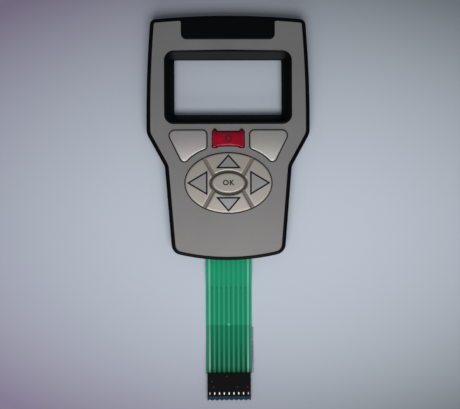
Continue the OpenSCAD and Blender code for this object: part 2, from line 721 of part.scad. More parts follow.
module bezel_frame() color([0.035, 0.035, 0.04]) difference() {
    union() {
        frame_shell();
        bezel_ring();
        round_topped(pad_points, deck_z1 - over, pad_z1, pad_edge_r);
        key_guides();
        stiffening_ribs();
        for (p = plate_bosses) translate([p.x, p.y, plate_z1])
            cylinder(h = deck_z0 - plate_z1 + over, r = boss_r, $fn = 32);
    }
    for (p = plate_bosses) translate([p.x, p.y, plate_z1 - over])
        cylinder(h = screw_len - plate_t + over + pilot_spare, r = screw_r + screw_gap, $fn = 32);
    for (p = case_pillar_spots) translate([p.x, p.y, deck_z0 - over])
        cylinder(h = spigot_h + spigot_gap + over, r = spigot_r + spigot_gap, $fn = 32);
    translate([-tail_w / 2 - notch_gap, foot_y - over, -over])
        cube([tail_w + 2 * notch_gap, 2 * skirt_t + over, film_z1 + notch_gap + over]);
}

// Threaded pillars for the screws of the instrument's case
module case_pillars() color([0.75, 0.62, 0.35]) for (p = case_pillar_spots) translate([p.x, p.y, 0])
    difference() {
        union() {
            cylinder(h = deck_z0, r = pillar_r, $fn = 32);
            cylinder(h = deck_z0 + spigot_h, r = spigot_r, $fn = 32);
        }
        translate([0, 0, -over]) cylinder(h = deck_z0 - pillar_cover + over, r = pillar_bore_r, $fn = 32);
    }

module fascia_area(back) {
    difference() {
        polygon(inset(rim_points, fascia_gap + back));
        offset(delta = fascia_gap + back) polygon(bezel_points);
        offset(delta = fascia_gap + back) polygon(pad_points);
        translate([-pad_w / 2 - fascia_gap - back, pad_top - over])
            square([pad_w + 2 * (fascia_gap + back), panel_h / 4]);
        key_outlines(key_gap + back);
    }
}
module fascia() color([0.62, 0.61, 0.6]) plate(fascia_z0, fascia_z1) fascia_area(0);
module fascia_adhesive() color([0.85, 0.83, 0.76]) plate(deck_z1, fascia_z0) fascia_area(tape_back);

// Mat: sheet, webs, plungers and the platform of the oval pad
module plunger(r, top) {
    hole = r + web_w;
    foot = hole + web_foot_w;
    foot_z = mat_z1 - web_t - web_rise;
    web_z = pill_z1 + web_rise;
    rotate_extrude($fn = 48) polygon([
        [0, pill_z1], [r, pill_z1], [r, web_z], [hole, foot_z], [foot, foot_z], [foot, mat_z1], [hole, mat_z1],
        [r + web_rise, web_z + web_t], [r, web_z + web_t + web_rise], [r, top], [0, top]]);
}
module keypad_mat() color([0.25, 0.25, 0.26]) {
    plate(ink_z1, mat_z1) difference() {
        plate_area(mat_back);
        boss_holes(boss_hole_r);
        for (p = plungers) translate([p.x, p.y]) circle(p[2] + web_w, $fn = 48);
    }
    for (p = plungers) translate([p.x, p.y, 0]) plunger(p[2], p[3]);
    plate(platform_z0, platform_z1) oval_outline();
}

module flange(grow) {
    plate(flange_z0, flange_z1) offset(delta = grow) children();
}

soft_height = function (p) fascia_z1 + soft_edge_h
    + soft_crown * (1 - pow(norm(p - soft_middle) / soft_crown_reach, 2));
module soft_key() {
    keycap(soft_points, flange_z0, soft_height, soft_edge_r, soft_middle);
    flange(flange_w) polygon(soft_points);
}
module soft_key_left() color([0.74, 0.71, 0.72]) mirror([1, 0, 0]) soft_key();
module soft_key_right() color([0.74, 0.71, 0.72]) soft_key();

module power_key() color([0.72, 0.05, 0.14]) {
    face = fascia_z1 + power_face_h;
    slab_height = function (p) face
        + power_dish * (pow(p.x / rail_in_x, 2) - pow((p.y - power_middle.y) / power_w, 2));
    rail_height = function (p) fascia_z1 + rail_h - rail_fall * max(0, p.y - power_top_y);
    rail_middle = [rail_in_x + rail_w / 2, 0];
    keycap(slab_points, flange_z0, slab_height, power_edge_r * 0.9, power_middle);
    for (side = [0, 1]) mirror([side, 0, 0])
        keycap(rail_points, flange_z0, rail_height, rail_edge_r * 0.9, rail_middle);
    flange(flange_w) power_outline();
}

// Keytops stand on the platform and share one dome
module keytop(points, centre, rise) {
    dome = function (p) platform_z1 + keytop_h + rise
        + oval_dome * (1 - pow(p.x / oval_a, 2) - pow(p.y / oval_b, 2));
    translate([0, oval_y, 0]) keycap(points, platform_z1, dome, keytop_edge_r, centre);
}
module key_up() color([0.78, 0.75, 0.7]) keytop(up_points, keys_on_oval[0], 0);
module key_down() color([0.78, 0.75, 0.7])
    translate([0, 2 * oval_y, 0]) mirror([0, 1, 0]) keytop(up_points, keys_on_oval[0], 0);
module key_left() color([0.78, 0.75, 0.7]) mirror([1, 0, 0]) keytop(side_points, keys_on_oval[3], 0);
module key_right() color([0.78, 0.75, 0.7]) keytop(side_points, keys_on_oval[3], 0);
module function_key() color([0.78, 0.75, 0.7]) keytop(centre_points, keys_on_oval[4], centre_rise);

module pill(index) color([0.06, 0.06, 0.06]) {
    p = plungers[index];
    translate([p.x, p.y, pill_z0]) cylinder(h = pill_t, r = p[2] - pill_back, $fn = 32);
}

// The film's height along the tail: level, a dip, a low stretch and a rise
function ease(t) = (1 - cos(180 * min(1, max(0, t)))) / 2;
function tail_z(y) =
    film_z0 + (tail_low_z - film_z0) * ease((exit_y - y) / tail_bend)
    + (entry_z - tail_low_z) * ease((level_y + tail_bend - y) / tail_bend);
tail_ys = concat([plate_bottom_y + 2],
    [for (i = [0:tail_steps]) exit_y - tail_bend * i / tail_steps],
    [for (i = [0:tail_steps]) level_y + tail_bend * (1 - i / tail_steps)],
    [tongue_y0]);

// A strip of the tail from y1 down to y0, between two heights over the film's underside
module tail_strip(x0, x1, y1, y0, low, high) {
    ys = concat([y1], [for (y = tail_ys) if (y < y1 - 0.01 && y > y0 + 0.01) y], [y0]);
    points = concat([for (y = ys) [y, tail_z(y) + low]],
                    [for (i = [len(ys) - 1:-1:0]) [ys[i], tail_z(ys[i]) + high]]);
    translate([x0, 0, 0]) rotate([90, 0, 90]) linear_extrude(x1 - x0) polygon(points);
}
module membrane_circuit() color([0.07, 0.5, 0.36]) {
    plate(film_z0, film_z1) difference() {
        plate_area(mat_back / 2);
        boss_holes(boss_hole_r);
    }
    tail_strip(-tail_w / 2, tail_w / 2, plate_bottom_y + 2, housing_y1 - tail_entry, 0, film_t);
    tail_strip(-tongue_w / 2, tongue_w / 2, level_y, tongue_y0, 0, film_t);
}

// A flat line of given width through a list of points
function ribbon(path, w) =
    let (n = len(path),
         sides = [for (i = [0:n - 1])
            let (before = edge_normal(path[max(0, i - 1)], path[max(1, i)]),
                 after = edge_normal(path[min(n - 2, i)], path[min(n - 1, i + 1)]))
            (before + after) / (1 + before * after) * w / 2])
    concat([for (i = [0:n - 1]) path[i] + sides[i]], [for (i = [n - 1:-1:0]) path[i] - sides[i]]);

// Middle of one half of a contact pad
function pad_half(index, side) = xy(plungers[index]) + [side * contact_r / 2, 0];

// Leads from the tail to the pads, one for each key and one for the plate
lead_y = plate_bottom_y + 3;
leads = [
    [[-13, lead_y + 1.5], [-17, lead_y + 2]],
    [[-13, lead_y + 6.5], [-23, lead_y + 9], [-24.3, lead_y + 17], [-24.3, lead_y + 29], pad_half(0, -1)],
    [[-10, lead_y + 8], [-17.8, lead_y + 13], pad_half(5, -1)],
    [[-6.5, lead_y + 7], [-6.5, lead_y + 41], pad_half(2, -1)],
    [pad_half(4, 1)],
    [[4.3, lead_y + 8], [4.3, lead_y + 19], pad_half(7, 1)],
    [[6.3, lead_y + 8], [6.3, lead_y + 29], pad_half(3, 1)],
    [[10, lead_y + 8], [17.8, lead_y + 13], pad_half(6, 1)],
    [[13, lead_y + 6.5], [23, lead_y + 9], [24.3, lead_y + 17], [24.3, lead_y + 29], pad_half(1, 1)]];
module conductor_strips() color([0.35, 0.66, 0.5]) {
    for (i = [0:tracks - 1])
        tail_strip(track_x[i] - track_w / 2, track_x[i] + track_w / 2,
                   plate_bottom_y + 2, tongue_y0 + tongue_gap, film_t, film_t + ink_t);
    plate(film_z1, ink_z1) {
        for (i = [0:tracks - 1])
            polygon(ribbon(concat([[track_x[i], plate_bottom_y + 1.5], [track_x[i], lead_y]], leads[i]),
                           lead_w));
        for (p = plungers) translate([p.x, p.y]) difference() {
            circle(contact_r, $fn = 32);
            square([contact_split, 2 * contact_r + over], center = true);
        }
    }
}

module circuit_adhesive() color([0.85, 0.83, 0.76]) plate(plate_z1, film_z0) difference() {
    plate_area(mat_back);
    boss_holes(boss_hole_r);
}

module backing_plate() color([0.75, 0.76, 0.78]) plate(plate_recess, plate_z1) difference() {
    plate_area(0);
    boss_holes(screw_r + plate_hole_gap);
}

module backing_screws() color([0.6, 0.6, 0.62]) for (p = plate_bosses)
    translate([p.x, p.y, plate_recess]) {
        translate([0, 0, -screw_head_h]) difference() {
            cylinder(h = screw_head_h, r = screw_head_r, $fn = 32);
            for (a = [0, 90]) rotate(a)
                translate([-screw_head_r * 0.6, -cross_w / 2, -over])
                    cube([screw_head_r * 1.2, cross_w, over + cross_depth]);
        }
        cylinder(h = screw_len, r = screw_r, $fn = 32);
    }

module tail_stiffener() color([0.8, 0.85, 0.88, 0.5]) translate([stiffener_shift, 0, 0])
    tail_strip(-tail_w / 2, tail_w / 2, housing_y1 + stiffener_len, housing_y1, -stiffener_t, 0);

// Connector: a block with one cavity, window and notched mouth for each contact
cavity_w = socket_w + 2 * socket_gap;
socket_z = housing_h / 2;
module connector_housing() color([0.05, 0.05, 0.055]) difference() {
    translate([-housing_w / 2, mouth_y, 0]) cube([housing_w, housing_len, housing_h]);
    translate([-housing_w / 2 - over, mouth_y - over, housing_h - step_depth])
        cube([housing_w + 2 * over, step_len + over, over]);
    translate([-tongue_w / 2 - tongue_gap, tongue_y0 - tongue_gap, entry_z - tongue_gap])
        cube([tongue_w + 2 * tongue_gap, tongue_len + over, film_t + ink_t + socket_t + 2 * tongue_gap]);
    translate([-tail_w / 2, housing_y1 - tail_entry - tongue_gap, entry_z - tongue_gap])
        cube([tail_w, tail_entry + tongue_gap + over, film_t + ink_t + socket_t + 2 * tongue_gap]);
    for (x = track_x) {
        translate([x - cavity_w / 2, mouth_y - over, socket_z - cavity_w / 2])
            cube([cavity_w, tongue_y0 - mouth_y + over, cavity_w]);
        translate([x - port_w / 2, mouth_y + port_back - port_len / 2, socket_z])
            cube([port_w, port_len, housing_h]);
        translate([x, mouth_y, socket_z]) linear_extrude(housing_h)
            polygon([[-mouth_notch, -over * 0.01], [mouth_notch, -over * 0.01], [0, mouth_notch]]);
    }
}

module crimp_terminals() color([0.83, 0.8, 0.74]) for (x = track_x) translate([x, mouth_y, 0]) {
    difference() {
        translate([-socket_w / 2, socket_back, socket_z - socket_w / 2]) cube([socket_w, socket_len, socket_w]);
        translate([-socket_w / 2 + socket_t, socket_back - over, socket_z - socket_w / 2 + socket_t])
            cube([socket_w - 2 * socket_t, socket_len + over - socket_t, socket_w - 2 * socket_t]);
    }
    translate([-track_w / 2, socket_back + socket_len - socket_t, entry_z + film_t + ink_t])
        cube([track_w, housing_len - socket_back - socket_len, socket_t]);
}

bezel_frame();
case_pillars();
fascia();
fascia_adhesive();
keypad_mat();
soft_key_left();
soft_key_right();
power_key();
key_up();
key_down();
key_left();
key_right();
function_key();
pill(0);  // pill_soft_left
pill(1);  // pill_soft_right
pill(2);  // pill_power
pill(3);  // pill_up
pill(4);  // pill_down
pill(5);  // pill_left
pill(6);  // pill_right
pill(7);  // pill_function
membrane_circuit();
conductor_strips();
circuit_adhesive();
backing_plate();
backing_screws();
tail_stiffener();
connector_housing();
crimp_terminals();
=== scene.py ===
# Front-panel keypad of a handheld meter, lying on its back on a pale table, seen from above.
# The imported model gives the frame; the pieces made here are worked out as numpy surfaces.

import math

import bpy
import bmesh
import numpy as np
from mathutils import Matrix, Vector
from mathutils.geometry import delaunay_2d_cdt


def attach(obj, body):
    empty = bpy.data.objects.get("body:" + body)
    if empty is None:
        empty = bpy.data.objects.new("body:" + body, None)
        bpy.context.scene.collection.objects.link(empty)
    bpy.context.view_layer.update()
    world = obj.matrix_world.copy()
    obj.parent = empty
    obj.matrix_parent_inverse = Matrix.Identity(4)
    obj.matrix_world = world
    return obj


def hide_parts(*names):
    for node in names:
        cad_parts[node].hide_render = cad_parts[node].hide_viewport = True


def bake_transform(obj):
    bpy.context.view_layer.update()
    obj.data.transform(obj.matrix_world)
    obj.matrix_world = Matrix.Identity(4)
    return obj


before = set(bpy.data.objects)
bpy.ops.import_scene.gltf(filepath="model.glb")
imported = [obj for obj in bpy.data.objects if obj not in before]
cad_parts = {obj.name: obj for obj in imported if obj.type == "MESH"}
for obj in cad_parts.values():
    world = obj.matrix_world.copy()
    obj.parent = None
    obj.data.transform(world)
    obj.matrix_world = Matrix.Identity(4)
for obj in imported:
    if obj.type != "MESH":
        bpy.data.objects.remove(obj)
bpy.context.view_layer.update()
print("frame loaded:", len(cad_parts), "nodes")

mm = 0.001  # sizes below are in millimetres, as in the part's source
meshing = dict(merge=1e-7, copyMerge=2e-6, tolerance=1e-5, flatAngle=0.4, bevelAngle=50)  # metres and degrees


# Outlines, as rows of x and y in millimetres
# A vector divided by its length
def unitOf(v):
    return v / np.linalg.norm(v)


# A corner at p, rounded: a circle of radius r that touches both edges, as a fan of steps + 1 points
def roundCorner(before, p, after, r, steps):
    if r <= 0:
        return p[None]
    u, v = unitOf(before - p), unitOf(after - p)
    half = math.acos(float(u @ v)) / 2
    centre = p + unitOf(u + v) * r / math.sin(half)
    start = p + u * r / math.tan(half) - centre
    side = np.sign((p - before)[0] * (after - p)[1] - (p - before)[1] * (after - p)[0])
    angle = side * (math.pi - 2 * half) * np.linspace(0, 1, steps + 1)
    return centre + np.stack([start[0] * np.cos(angle) - start[1] * np.sin(angle),
                              start[0] * np.sin(angle) + start[1] * np.cos(angle)], 1)


# A closed outline, anticlockwise, from rows of x, y and corner radius
def rounded(corners, steps=8):
    c = np.array(corners, float)
    before, after = np.roll(c, 1, 0), np.roll(c, -1, 0)
    corners = zip(before, c, after)
    return np.concatenate([roundCorner(b[:2], p[:2], a[:2], p[2], steps) for b, p, a in corners])


# Inward unit normals at the corners of a loop, scaled so that a shift along them keeps the edges parallel
def loopNormals(loop):
    edge = np.roll(loop, -1, 0) - loop
    edge /= np.linalg.norm(edge, axis=1)[:, None]
    after = np.stack([-edge[:, 1], edge[:, 0]], 1)
    before = np.roll(after, 1, 0)
    return (before + after) / (1 + (before * after).sum(1))[:, None]


# A loop moved inwards by d, or outwards where d is negative
def inset(loop, d):
    return loop + loopNormals(loop) * d


# Points of an ellipse between two angles, both ends left out
def ovalArc(a, b, start, end, count):
    t = np.linspace(start, end, count + 1)[1:-1]
    return np.stack([a * np.cos(t), b * np.sin(t), 0 * t], 1)


# An ellipse about the origin, at evenly spaced turns
def oval(a, b, count):
    t = np.arange(count) * 2 * math.pi / count
    return np.stack([a * np.cos(t), b * np.sin(t)], 1)


# The turn of a point on an ellipse, with both half axes scaled to 1
def ovalAngle(p, a, b):
    return math.atan2(p[1] / b, p[0] / a)


# Where the line p + s * d leaves an ellipse: the larger root of the quadratic in s
def lineToOval(p, d, a, b):
    qa = (d[0] / a) ** 2 + (d[1] / b) ** 2
    qb = 2 * (p[0] * d[0] / a**2 + p[1] * d[1] / b**2)
    qc = (p[0] / a) ** 2 + (p[1] / b) ** 2 - 1
    return p + d * (-qb + math.sqrt(qb * qb - 4 * qa * qc)) / (2 * qa)


# A loop mirrored from right to left, and turned round so that it stays anticlockwise
def mirrored(loop):
    return (loop * [-1, 1])[::-1]


# The points of an arc that leave room for the rounded corners at its ends
def clearOf(arc, *ends):
    for end, room in ends:
        arc = arc[np.linalg.norm(arc[:, :2] - end, axis=1) > room]
    return arc


# The same loop with points added evenly along its longer edges
def dense(loop, step=0.8):
    edge = np.roll(loop, -1, 0) - loop
    count = np.ceil(np.linalg.norm(edge, axis=1) / step).astype(int)
    share = np.concatenate([np.arange(n) / n for n in count])
    return np.repeat(loop, count, 0) + np.repeat(edge, count, 0) * share[:, None]


# Which points lie inside a loop, by the even-odd rule, as 0 or 1
def inside(points, loop):
    x, y = points[:, :1], points[:, 1:2]
    x0, y0 = loop.T
    x1, y1 = np.roll(loop, -1, 0).T
    across = (y0 > y) != (y1 > y)
    rise = np.where(y1 == y0, 1, y1 - y0)
    return (across & (x < x0 + (x1 - x0) * (y - y0) / rise)).sum(1) % 2


# Meshes
# An object in the scene that shows a mesh, curve, lamp or camera
def placed(name, data):
    obj = bpy.data.objects.new(name, data)
    bpy.context.scene.collection.objects.link(obj)
    return obj


# The mesh of an object with its modifiers worked out
def finalMesh(obj):
    graph = bpy.context.evaluated_depsgraph_get()
    graph.update()
    return bpy.data.meshes.new_from_object(obj.evaluated_get(graph))


# An object from points in millimetres and faces, with doubles merged and every face turned outwards
def makePiece(name, points, faces, smooth=True):
    mesh = bpy.data.meshes.new(name)
    mesh.from_pydata(np.asarray(points, float) * mm, [], faces)
    mesh.validate()
    piece = placed(name, mesh)
    bm = bmesh.new()
    bm.from_mesh(mesh)
    bmesh.ops.remove_doubles(bm, verts=bm.verts, dist=meshing["merge"])
    bmesh.ops.recalc_face_normals(bm, faces=bm.faces)
    bm.to_mesh(mesh)
    bm.free()
    if smooth:
        smoothByAngle(piece)
    return piece


# Smooth shading, sharp only where two faces meet at more than the given angle
def smoothByAngle(piece, angle=35):
    mesh = piece.data
    mesh.polygons.foreach_set("use_smooth", np.ones(len(mesh.polygons), bool))
    mesh.set_sharp_from_angle(angle=math.radians(angle))


# Quads between neighbouring rings of a grid of points, rings first, closed round each ring
def ringFaces(ringCount, pointCount):
    k, i = np.meshgrid(np.arange(ringCount - 1), np.arange(pointCount), indexing="ij")
    j = (i + 1) % pointCount
    low, high = k * pointCount, (k + 1) * pointCount
    return np.stack([low + i, low + j, high + j, high + i], -1).reshape(-1, 4).tolist()


# A closed solid from rings of equal count: walls between them, and a flat or fanned end at each side
def ringSolid(name, rings):
    grid = np.asarray(rings, float)
    count, around = grid.shape[:2]
    ends = grid[[0, -1]].mean(1)
    points = np.concatenate([grid.reshape(-1, 3), ends])
    i = np.arange(around)
    j = (i + 1) % around
    last = (count - 1) * around
    low = np.stack([j, i, np.full(around, count * around)], 1)
    high = np.stack([last + i, last + j, np.full(around, count * around + 1)], 1)
    return makePiece(name, points, ringFaces(count, around) + low.tolist() + high.tolist())


# A ring that stays open in the middle: the last ring of points joins the first
def ringTube(name, rings):
    grid = np.asarray(rings, float)
    count, around = grid.shape[:2]
    closed = np.concatenate([grid, grid[:1]])
    return makePiece(name, closed.reshape(-1, 3), ringFaces(count + 1, around))


# A flat loop at a height, or at a height for each point
def lifted(loop, z):
    return np.column_stack([loop, np.broadcast_to(z, len(loop))])


# A flat plate: its outline and holes are triangulated together, thickened and given small edge radii
def flatPiece(name, loops, z0, z1, edge):
    points = [Vector(p) for loop in loops for p in loop]
    starts = np.cumsum([0] + [len(loop) for loop in loops])
    edges = [(s + i, s + (i + 1) % n) for s, n in zip(starts, map(len, loops)) for i in range(n)]
    points, _, faces = delaunay_2d_cdt(points, edges, [], 0, meshing["tolerance"])[:3]
    flat, triangles = np.array([[p.x, p.y, z1] for p in points]), np.array(faces)
    centres = flat[triangles].mean(1)
    solid = sum(inside(centres, loop) for loop in loops) % 2 == 1
    piece = makePiece(name, flat, triangles[solid].tolist(), smooth=False)
    if piece.data.polygons[0].normal.z < 0:
        piece.data.flip_normals()
    thick = piece.modifiers.new("Thickness", "SOLIDIFY")
    thick.thickness = (z1 - z0) * mm
    thick.offset = -1
    bevel = piece.modifiers.new("Edges", "BEVEL")
    bevel.width = edge * mm
    bevel.segments = 3
    bevel.limit_method = "ANGLE"
    bevel.angle_limit = math.radians(meshing["bevelAngle"])
    return flatFacesFirst(applied(piece))


# Turns the modifiers into mesh, then smooths it
def applied(piece):
    mesh = finalMesh(piece)
    piece.modifiers.clear()
    old = piece.data
    piece.data = mesh
    bpy.data.meshes.remove(old)
    mesh.name = piece.name
    smoothByAngle(piece)
    return piece


# Keeps the shading of large flat faces flat beside their rounded edges
def flatFacesFirst(piece):
    weights = piece.modifiers.new("Flat faces first", "WEIGHTED_NORMAL")
    weights.keep_sharp = True
    return piece


# A copy of a CAD node with its loose triangles joined, so that it can be shaded smoothly
def joinedCopy(name, node, angle=40):
    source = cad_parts[node]
    mesh = source.data.copy()
    mesh.name = name
    bm = bmesh.new()
    bm.from_mesh(mesh)
    bmesh.ops.remove_doubles(bm, verts=bm.verts, dist=meshing["copyMerge"])
    flatAngle = math.radians(meshing["flatAngle"])
    bmesh.ops.dissolve_limit(bm, angle_limit=flatAngle, verts=bm.verts, edges=bm.edges)
    bm.to_mesh(mesh)
    bm.free()
    piece = placed(name, mesh)
    smoothByAngle(piece, angle)
    mesh.materials.clear()
    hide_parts(node)
    return flatFacesFirst(piece)


# Materials
# A socket's value that can stand in an expression on either side of an operator. Numbers alone make no node
class Value:
    def __init__(self, finish, socket):
        self.finish = finish
        self.socket = socket

    def calc(self, operation, other=None, reflected=False):
        pair = [self] if other is None else [other, self] if reflected else [self, other]
        return self.finish.node("ShaderNodeMath", {"operation": operation}, dict(enumerate(pair)))

    def __add__(self, other):
        return self.calc("ADD", other)

    def __sub__(self, other):
        return self.calc("SUBTRACT", other)

    def __mul__(self, other):
        return self.calc("MULTIPLY", other)

    def __truediv__(self, other):
        return self.calc("DIVIDE", other)

    def __radd__(self, other):
        return self.calc("ADD", other, True)

    def __rsub__(self, other):
        return self.calc("SUBTRACT", other, True)

    def __rmul__(self, other):
        return self.calc("MULTIPLY", other, True)

    def __rtruediv__(self, other):
        return self.calc("DIVIDE", other, True)

    def __abs__(self):
        return self.calc("ABSOLUTE")

    def __gt__(self, other):
        return self.calc("GREATER_THAN", other)

    def __lt__(self, other):
        return self.calc("LESS_THAN", other)

    # 0 below low, 1 above high, a smooth rise between
    def rise(self, low, high):
        settings = {"interpolation_type": "SMOOTHSTEP"}
        inputs = {"Value": self, "From Min": low, "From Max": high}
        return self.finish.node("ShaderNodeMapRange", settings, inputs)


# One material: a Principled shader and the nodes that feed it
class Finish:
    def __init__(self, name, **constants):
        self.material = bpy.data.materials.new(name)
        self.material.use_nodes = True
        self.tree = self.material.node_tree
        self.shader = self.tree.nodes["Principled BSDF"]
        for socket, value in constants.items():
            self.feed(socket.replace("_", " "), value)

    # A node of any kind: its settings first, then the values or links of its sockets
    def node(self, kind, settings=None, inputs=None, output=0):
        new = self.tree.nodes.new(kind)
        for name, value in (settings or {}).items():
            if name == "stops":
                ramp = new.color_ramp.elements
                while len(ramp) < len(value):
                    ramp.new(0.5)
                for element, (place, color) in zip(ramp, value):
                    element.position, element.color = place, (*color, 1)
            else:
                setattr(new, name, value)
        for name, value in (inputs or {}).items():
            self.join(new.inputs[name], value)
        return Value(self, new.outputs[output])

    def join(self, socket, value):
        if isinstance(value, Value):
            self.tree.links.new(value.socket, socket)
        elif value is not None:
            isColor = socket.type == "RGBA" and len(value) == 3
            socket.default_value = (*value, 1) if isColor else value

    def feed(self, socket, value):
        self.join(self.shader.inputs[socket], value)

    def place(self):
        return self.node("ShaderNodeTexCoord", None, None, "Object")

    def along(self, axis):
        return self.node("ShaderNodeSeparateXYZ", None, {0: self.place()}, axis)

    # Noise of features about the given size in millimetres, from 0 to 1
    def noise(self, size, detail, stretch=None):
        where = self.place()
        if stretch:
            where = self.node("ShaderNodeMapping", None, {"Vector": where, "Scale": stretch})
        inputs = {"Vector": where, "Scale": 1 / (size * mm), "Detail": detail}
        return self.node("ShaderNodeTexNoise", None, inputs, "Fac")

    # A place along an axis in millimetres
    def length(self, axis):
        return self.along(axis) * (1 / mm)

    # 1 within a soft round spot at x and y, all in millimetres
    def spot(self, x, y, radius):
        u, v = self.length("X") - x, self.length("Y") - y
        return 1 - (u * u + v * v).rise(0.2 * radius**2, radius**2)

    # A colour that changes along a value, from stops of value and colour
    def ramp(self, value, stops):
        low, high = stops[0][0], stops[-1][0]
        places = [((stop - low) / (high - low), color) for stop, color in stops]
        return self.node("ShaderNodeValToRGB", {"stops": places}, {"Fac": (value - low) / (high - low)})

    # A colour between two: the first at 0, the second at 1
    def blend(self, share, first, second):
        return self.node("ShaderNodeMix", {"data_type": "RGBA"}, {0: share, 6: first, 7: second}, 2)

    # Bump from a height between 0 and 1, as deep as the given millimetres
    def bump(self, height, depth, strength):
        inputs = {"Strength": strength, "Distance": depth * mm, "Height": height}
        self.feed("Normal", self.node("ShaderNodeBump", None, inputs))

    def wear(self, piece):
        piece.data.materials.clear()
        piece.data.materials.append(self.material)


# Puts a finish on pieces
def dress(finish, slot, *pieces):
    for piece in pieces:
        finish.wear(piece)


# Sizes that the pieces share
panel = dict(
    height=127.5, topHalf=40.4, waistHalf=42.6, neckHalf=33.15, footHalf=29.45, waistY=2.4, neckY=-14.8,
    topArc=414.0, footArc=114.0, radii=dict(top=3.0, waist=8.0, neck=6.0, foot=5.5),
    straight=8.0, rim=2.0, footRim=1.7, fasciaEdge=0.12)
levels = dict(
    ink=2.8, mat=4.0, pillTop=4.25, flange=5.4, flangeTop=6.2, platform=7.9, fascia=8.05, face=8.85,
    groove=8.9)
gaps = dict(fascia=0.1, key=0.5)
ovalPad = dict(
    width=45.0, height=31.2, y=-23.5, centreWidth=17.1, centreHeight=10.3, ring=1.3, groove=1.5,
    angle=61.0, crossing=5.45, rise=0.95, centreRise=0.2, dome=0.38, edge=0.65, corner=0.7, room=2.2,
    footChamfer=0.25, floorSpare=0.13, ringSpare=0.1)


# Heights of the panel's top and bottom arcs at x: points of two large circles
def headArc(x):
    return panel["height"] / 2 - panel["topArc"] + np.sqrt(panel["topArc"] ** 2 - x * x)


def footArc(x):
    return -panel["height"] / 2 + panel["footArc"] - np.sqrt(panel["footArc"] ** 2 - x * x)


# Rows of x, y and corner radius
def rowsOf(x, y, r=0.0):
    return np.stack([x, y, np.broadcast_to(r, np.shape(x))], 1)


# The panel's outline: bottom arc, foot, neck and waist corners, a side that bows in by a parabola, top arc
def panelLoop():
    r = panel["radii"]
    x = (panel["footHalf"] - r["foot"]) * np.linspace(0, 1, 9)
    t = np.linspace(0, 1, 10, endpoint=False)
    sideFoot, sideHead = panel["waistY"] + panel["straight"], headArc(panel["topHalf"])
    top = (panel["topHalf"] - 2 * r["top"]) * np.linspace(1, 0, 9)
    right = np.concatenate([
        rowsOf(x, footArc(x)),
        [[panel["footHalf"], footArc(panel["footHalf"]), r["foot"]],
         [panel["neckHalf"], panel["neckY"], r["neck"]],
         [panel["waistHalf"], panel["waistY"], r["waist"]]],
        rowsOf(panel["waistHalf"] - (panel["waistHalf"] - panel["topHalf"]) * t * t,
               sideFoot + (sideHead - sideFoot) * t),
        [[panel["topHalf"], sideHead, r["top"]]],
        rowsOf(top, headArc(top))])
    left = right[::-1] * [-1, 1, 1]
    return rounded(np.concatenate([right, left[left[:, 0] < 0]]), 10)


outer = panelLoop()
outerNormals = loopNormals(outer)
downwards = np.maximum(0, outerNormals[:, 1:2]) ** 2
rimLoop = outer + outerNormals * (panel["rim"] + (panel["footRim"] - panel["rim"]) * downwards)

ovalA, ovalB = ovalPad["width"] / 2, ovalPad["height"] / 2
ringA, ringB = ovalPad["centreWidth"] / 2 + ovalPad["ring"], ovalPad["centreHeight"] / 2 + ovalPad["ring"]

# The right upper groove: a line from its crossing with the x axis, and a step across half its width
grooveSlope = math.radians(ovalPad["angle"])
grooveStart = np.array([ovalPad["crossing"], 0.0])
grooveAlong = np.array([math.cos(grooveSlope), math.sin(grooveSlope)])
grooveSide = np.array([-grooveAlong[1], grooveAlong[0]]) * ovalPad["groove"] / 2


# Keytops about the oval's centre: straight groove edges between an outer and an inner elliptic arc
def keytopLoops():
    upOut, upIn, sideOut, sideIn = (
        lineToOval(grooveStart + side, grooveAlong, a, b)
        for side in (grooveSide, -grooveSide) for a, b in ((ovalA, ovalB), (ringA, ringB)))
    r = ovalPad["corner"]

    def arc(a, b, start, end, count):
        ends = [np.array([a * math.cos(t), b * math.sin(t)]) for t in (start, end)]
        return clearOf(ovalArc(a, b, start, end, count), *((p, ovalPad["room"] * r) for p in ends))

    a, b = ovalAngle(upOut, ovalA, ovalB), ovalAngle(upIn, ringA, ringB)
    up = rounded(np.concatenate([
        [[*upIn, r], [*upOut, r]], arc(ovalA, ovalB, a, math.pi - a, 24),
        [[-upOut[0], upOut[1], r], [-upIn[0], upIn[1], r]], arc(ringA, ringB, math.pi - b, b, 18)]), 6)
    a, b = ovalAngle(sideOut, ovalA, ovalB), ovalAngle(sideIn, ringA, ringB)
    right = rounded(np.concatenate([
        [[sideIn[0], -sideIn[1], r], [sideOut[0], -sideOut[1], r]], arc(ovalA, ovalB, -a, a, 24),
        [[*sideOut, r], [*sideIn, r]], arc(ringA, ringB, b, -b, 18)]), 6)
    down = (up * [1, -1])[::-1]
    centre = oval(ovalPad["centreWidth"] / 2, ovalPad["centreHeight"] / 2, 96)
    return dict(up=up, down=down, left=mirrored(right), right=right, function=centre)


# The middle of a keytop: halfway between the two ellipses on its axis
def keytopMiddle(name):
    x, y = (ovalA + ringA) / 2, (ovalB + ringB) / 2
    return np.array(dict(up=(0, y), down=(0, -y), left=(-x, 0), right=(x, 0), function=(0, 0))[name], float)


# Height of the keytops: a flat top that falls with the square of the distance, as a share of the oval
def domeAt(p, raised=0.0):
    share = (p[..., 0] / ovalA) ** 2 + (p[..., 1] / ovalB) ** 2
    return levels["groove"] + ovalPad["rise"] + raised + ovalPad["dome"] * (1 - share)


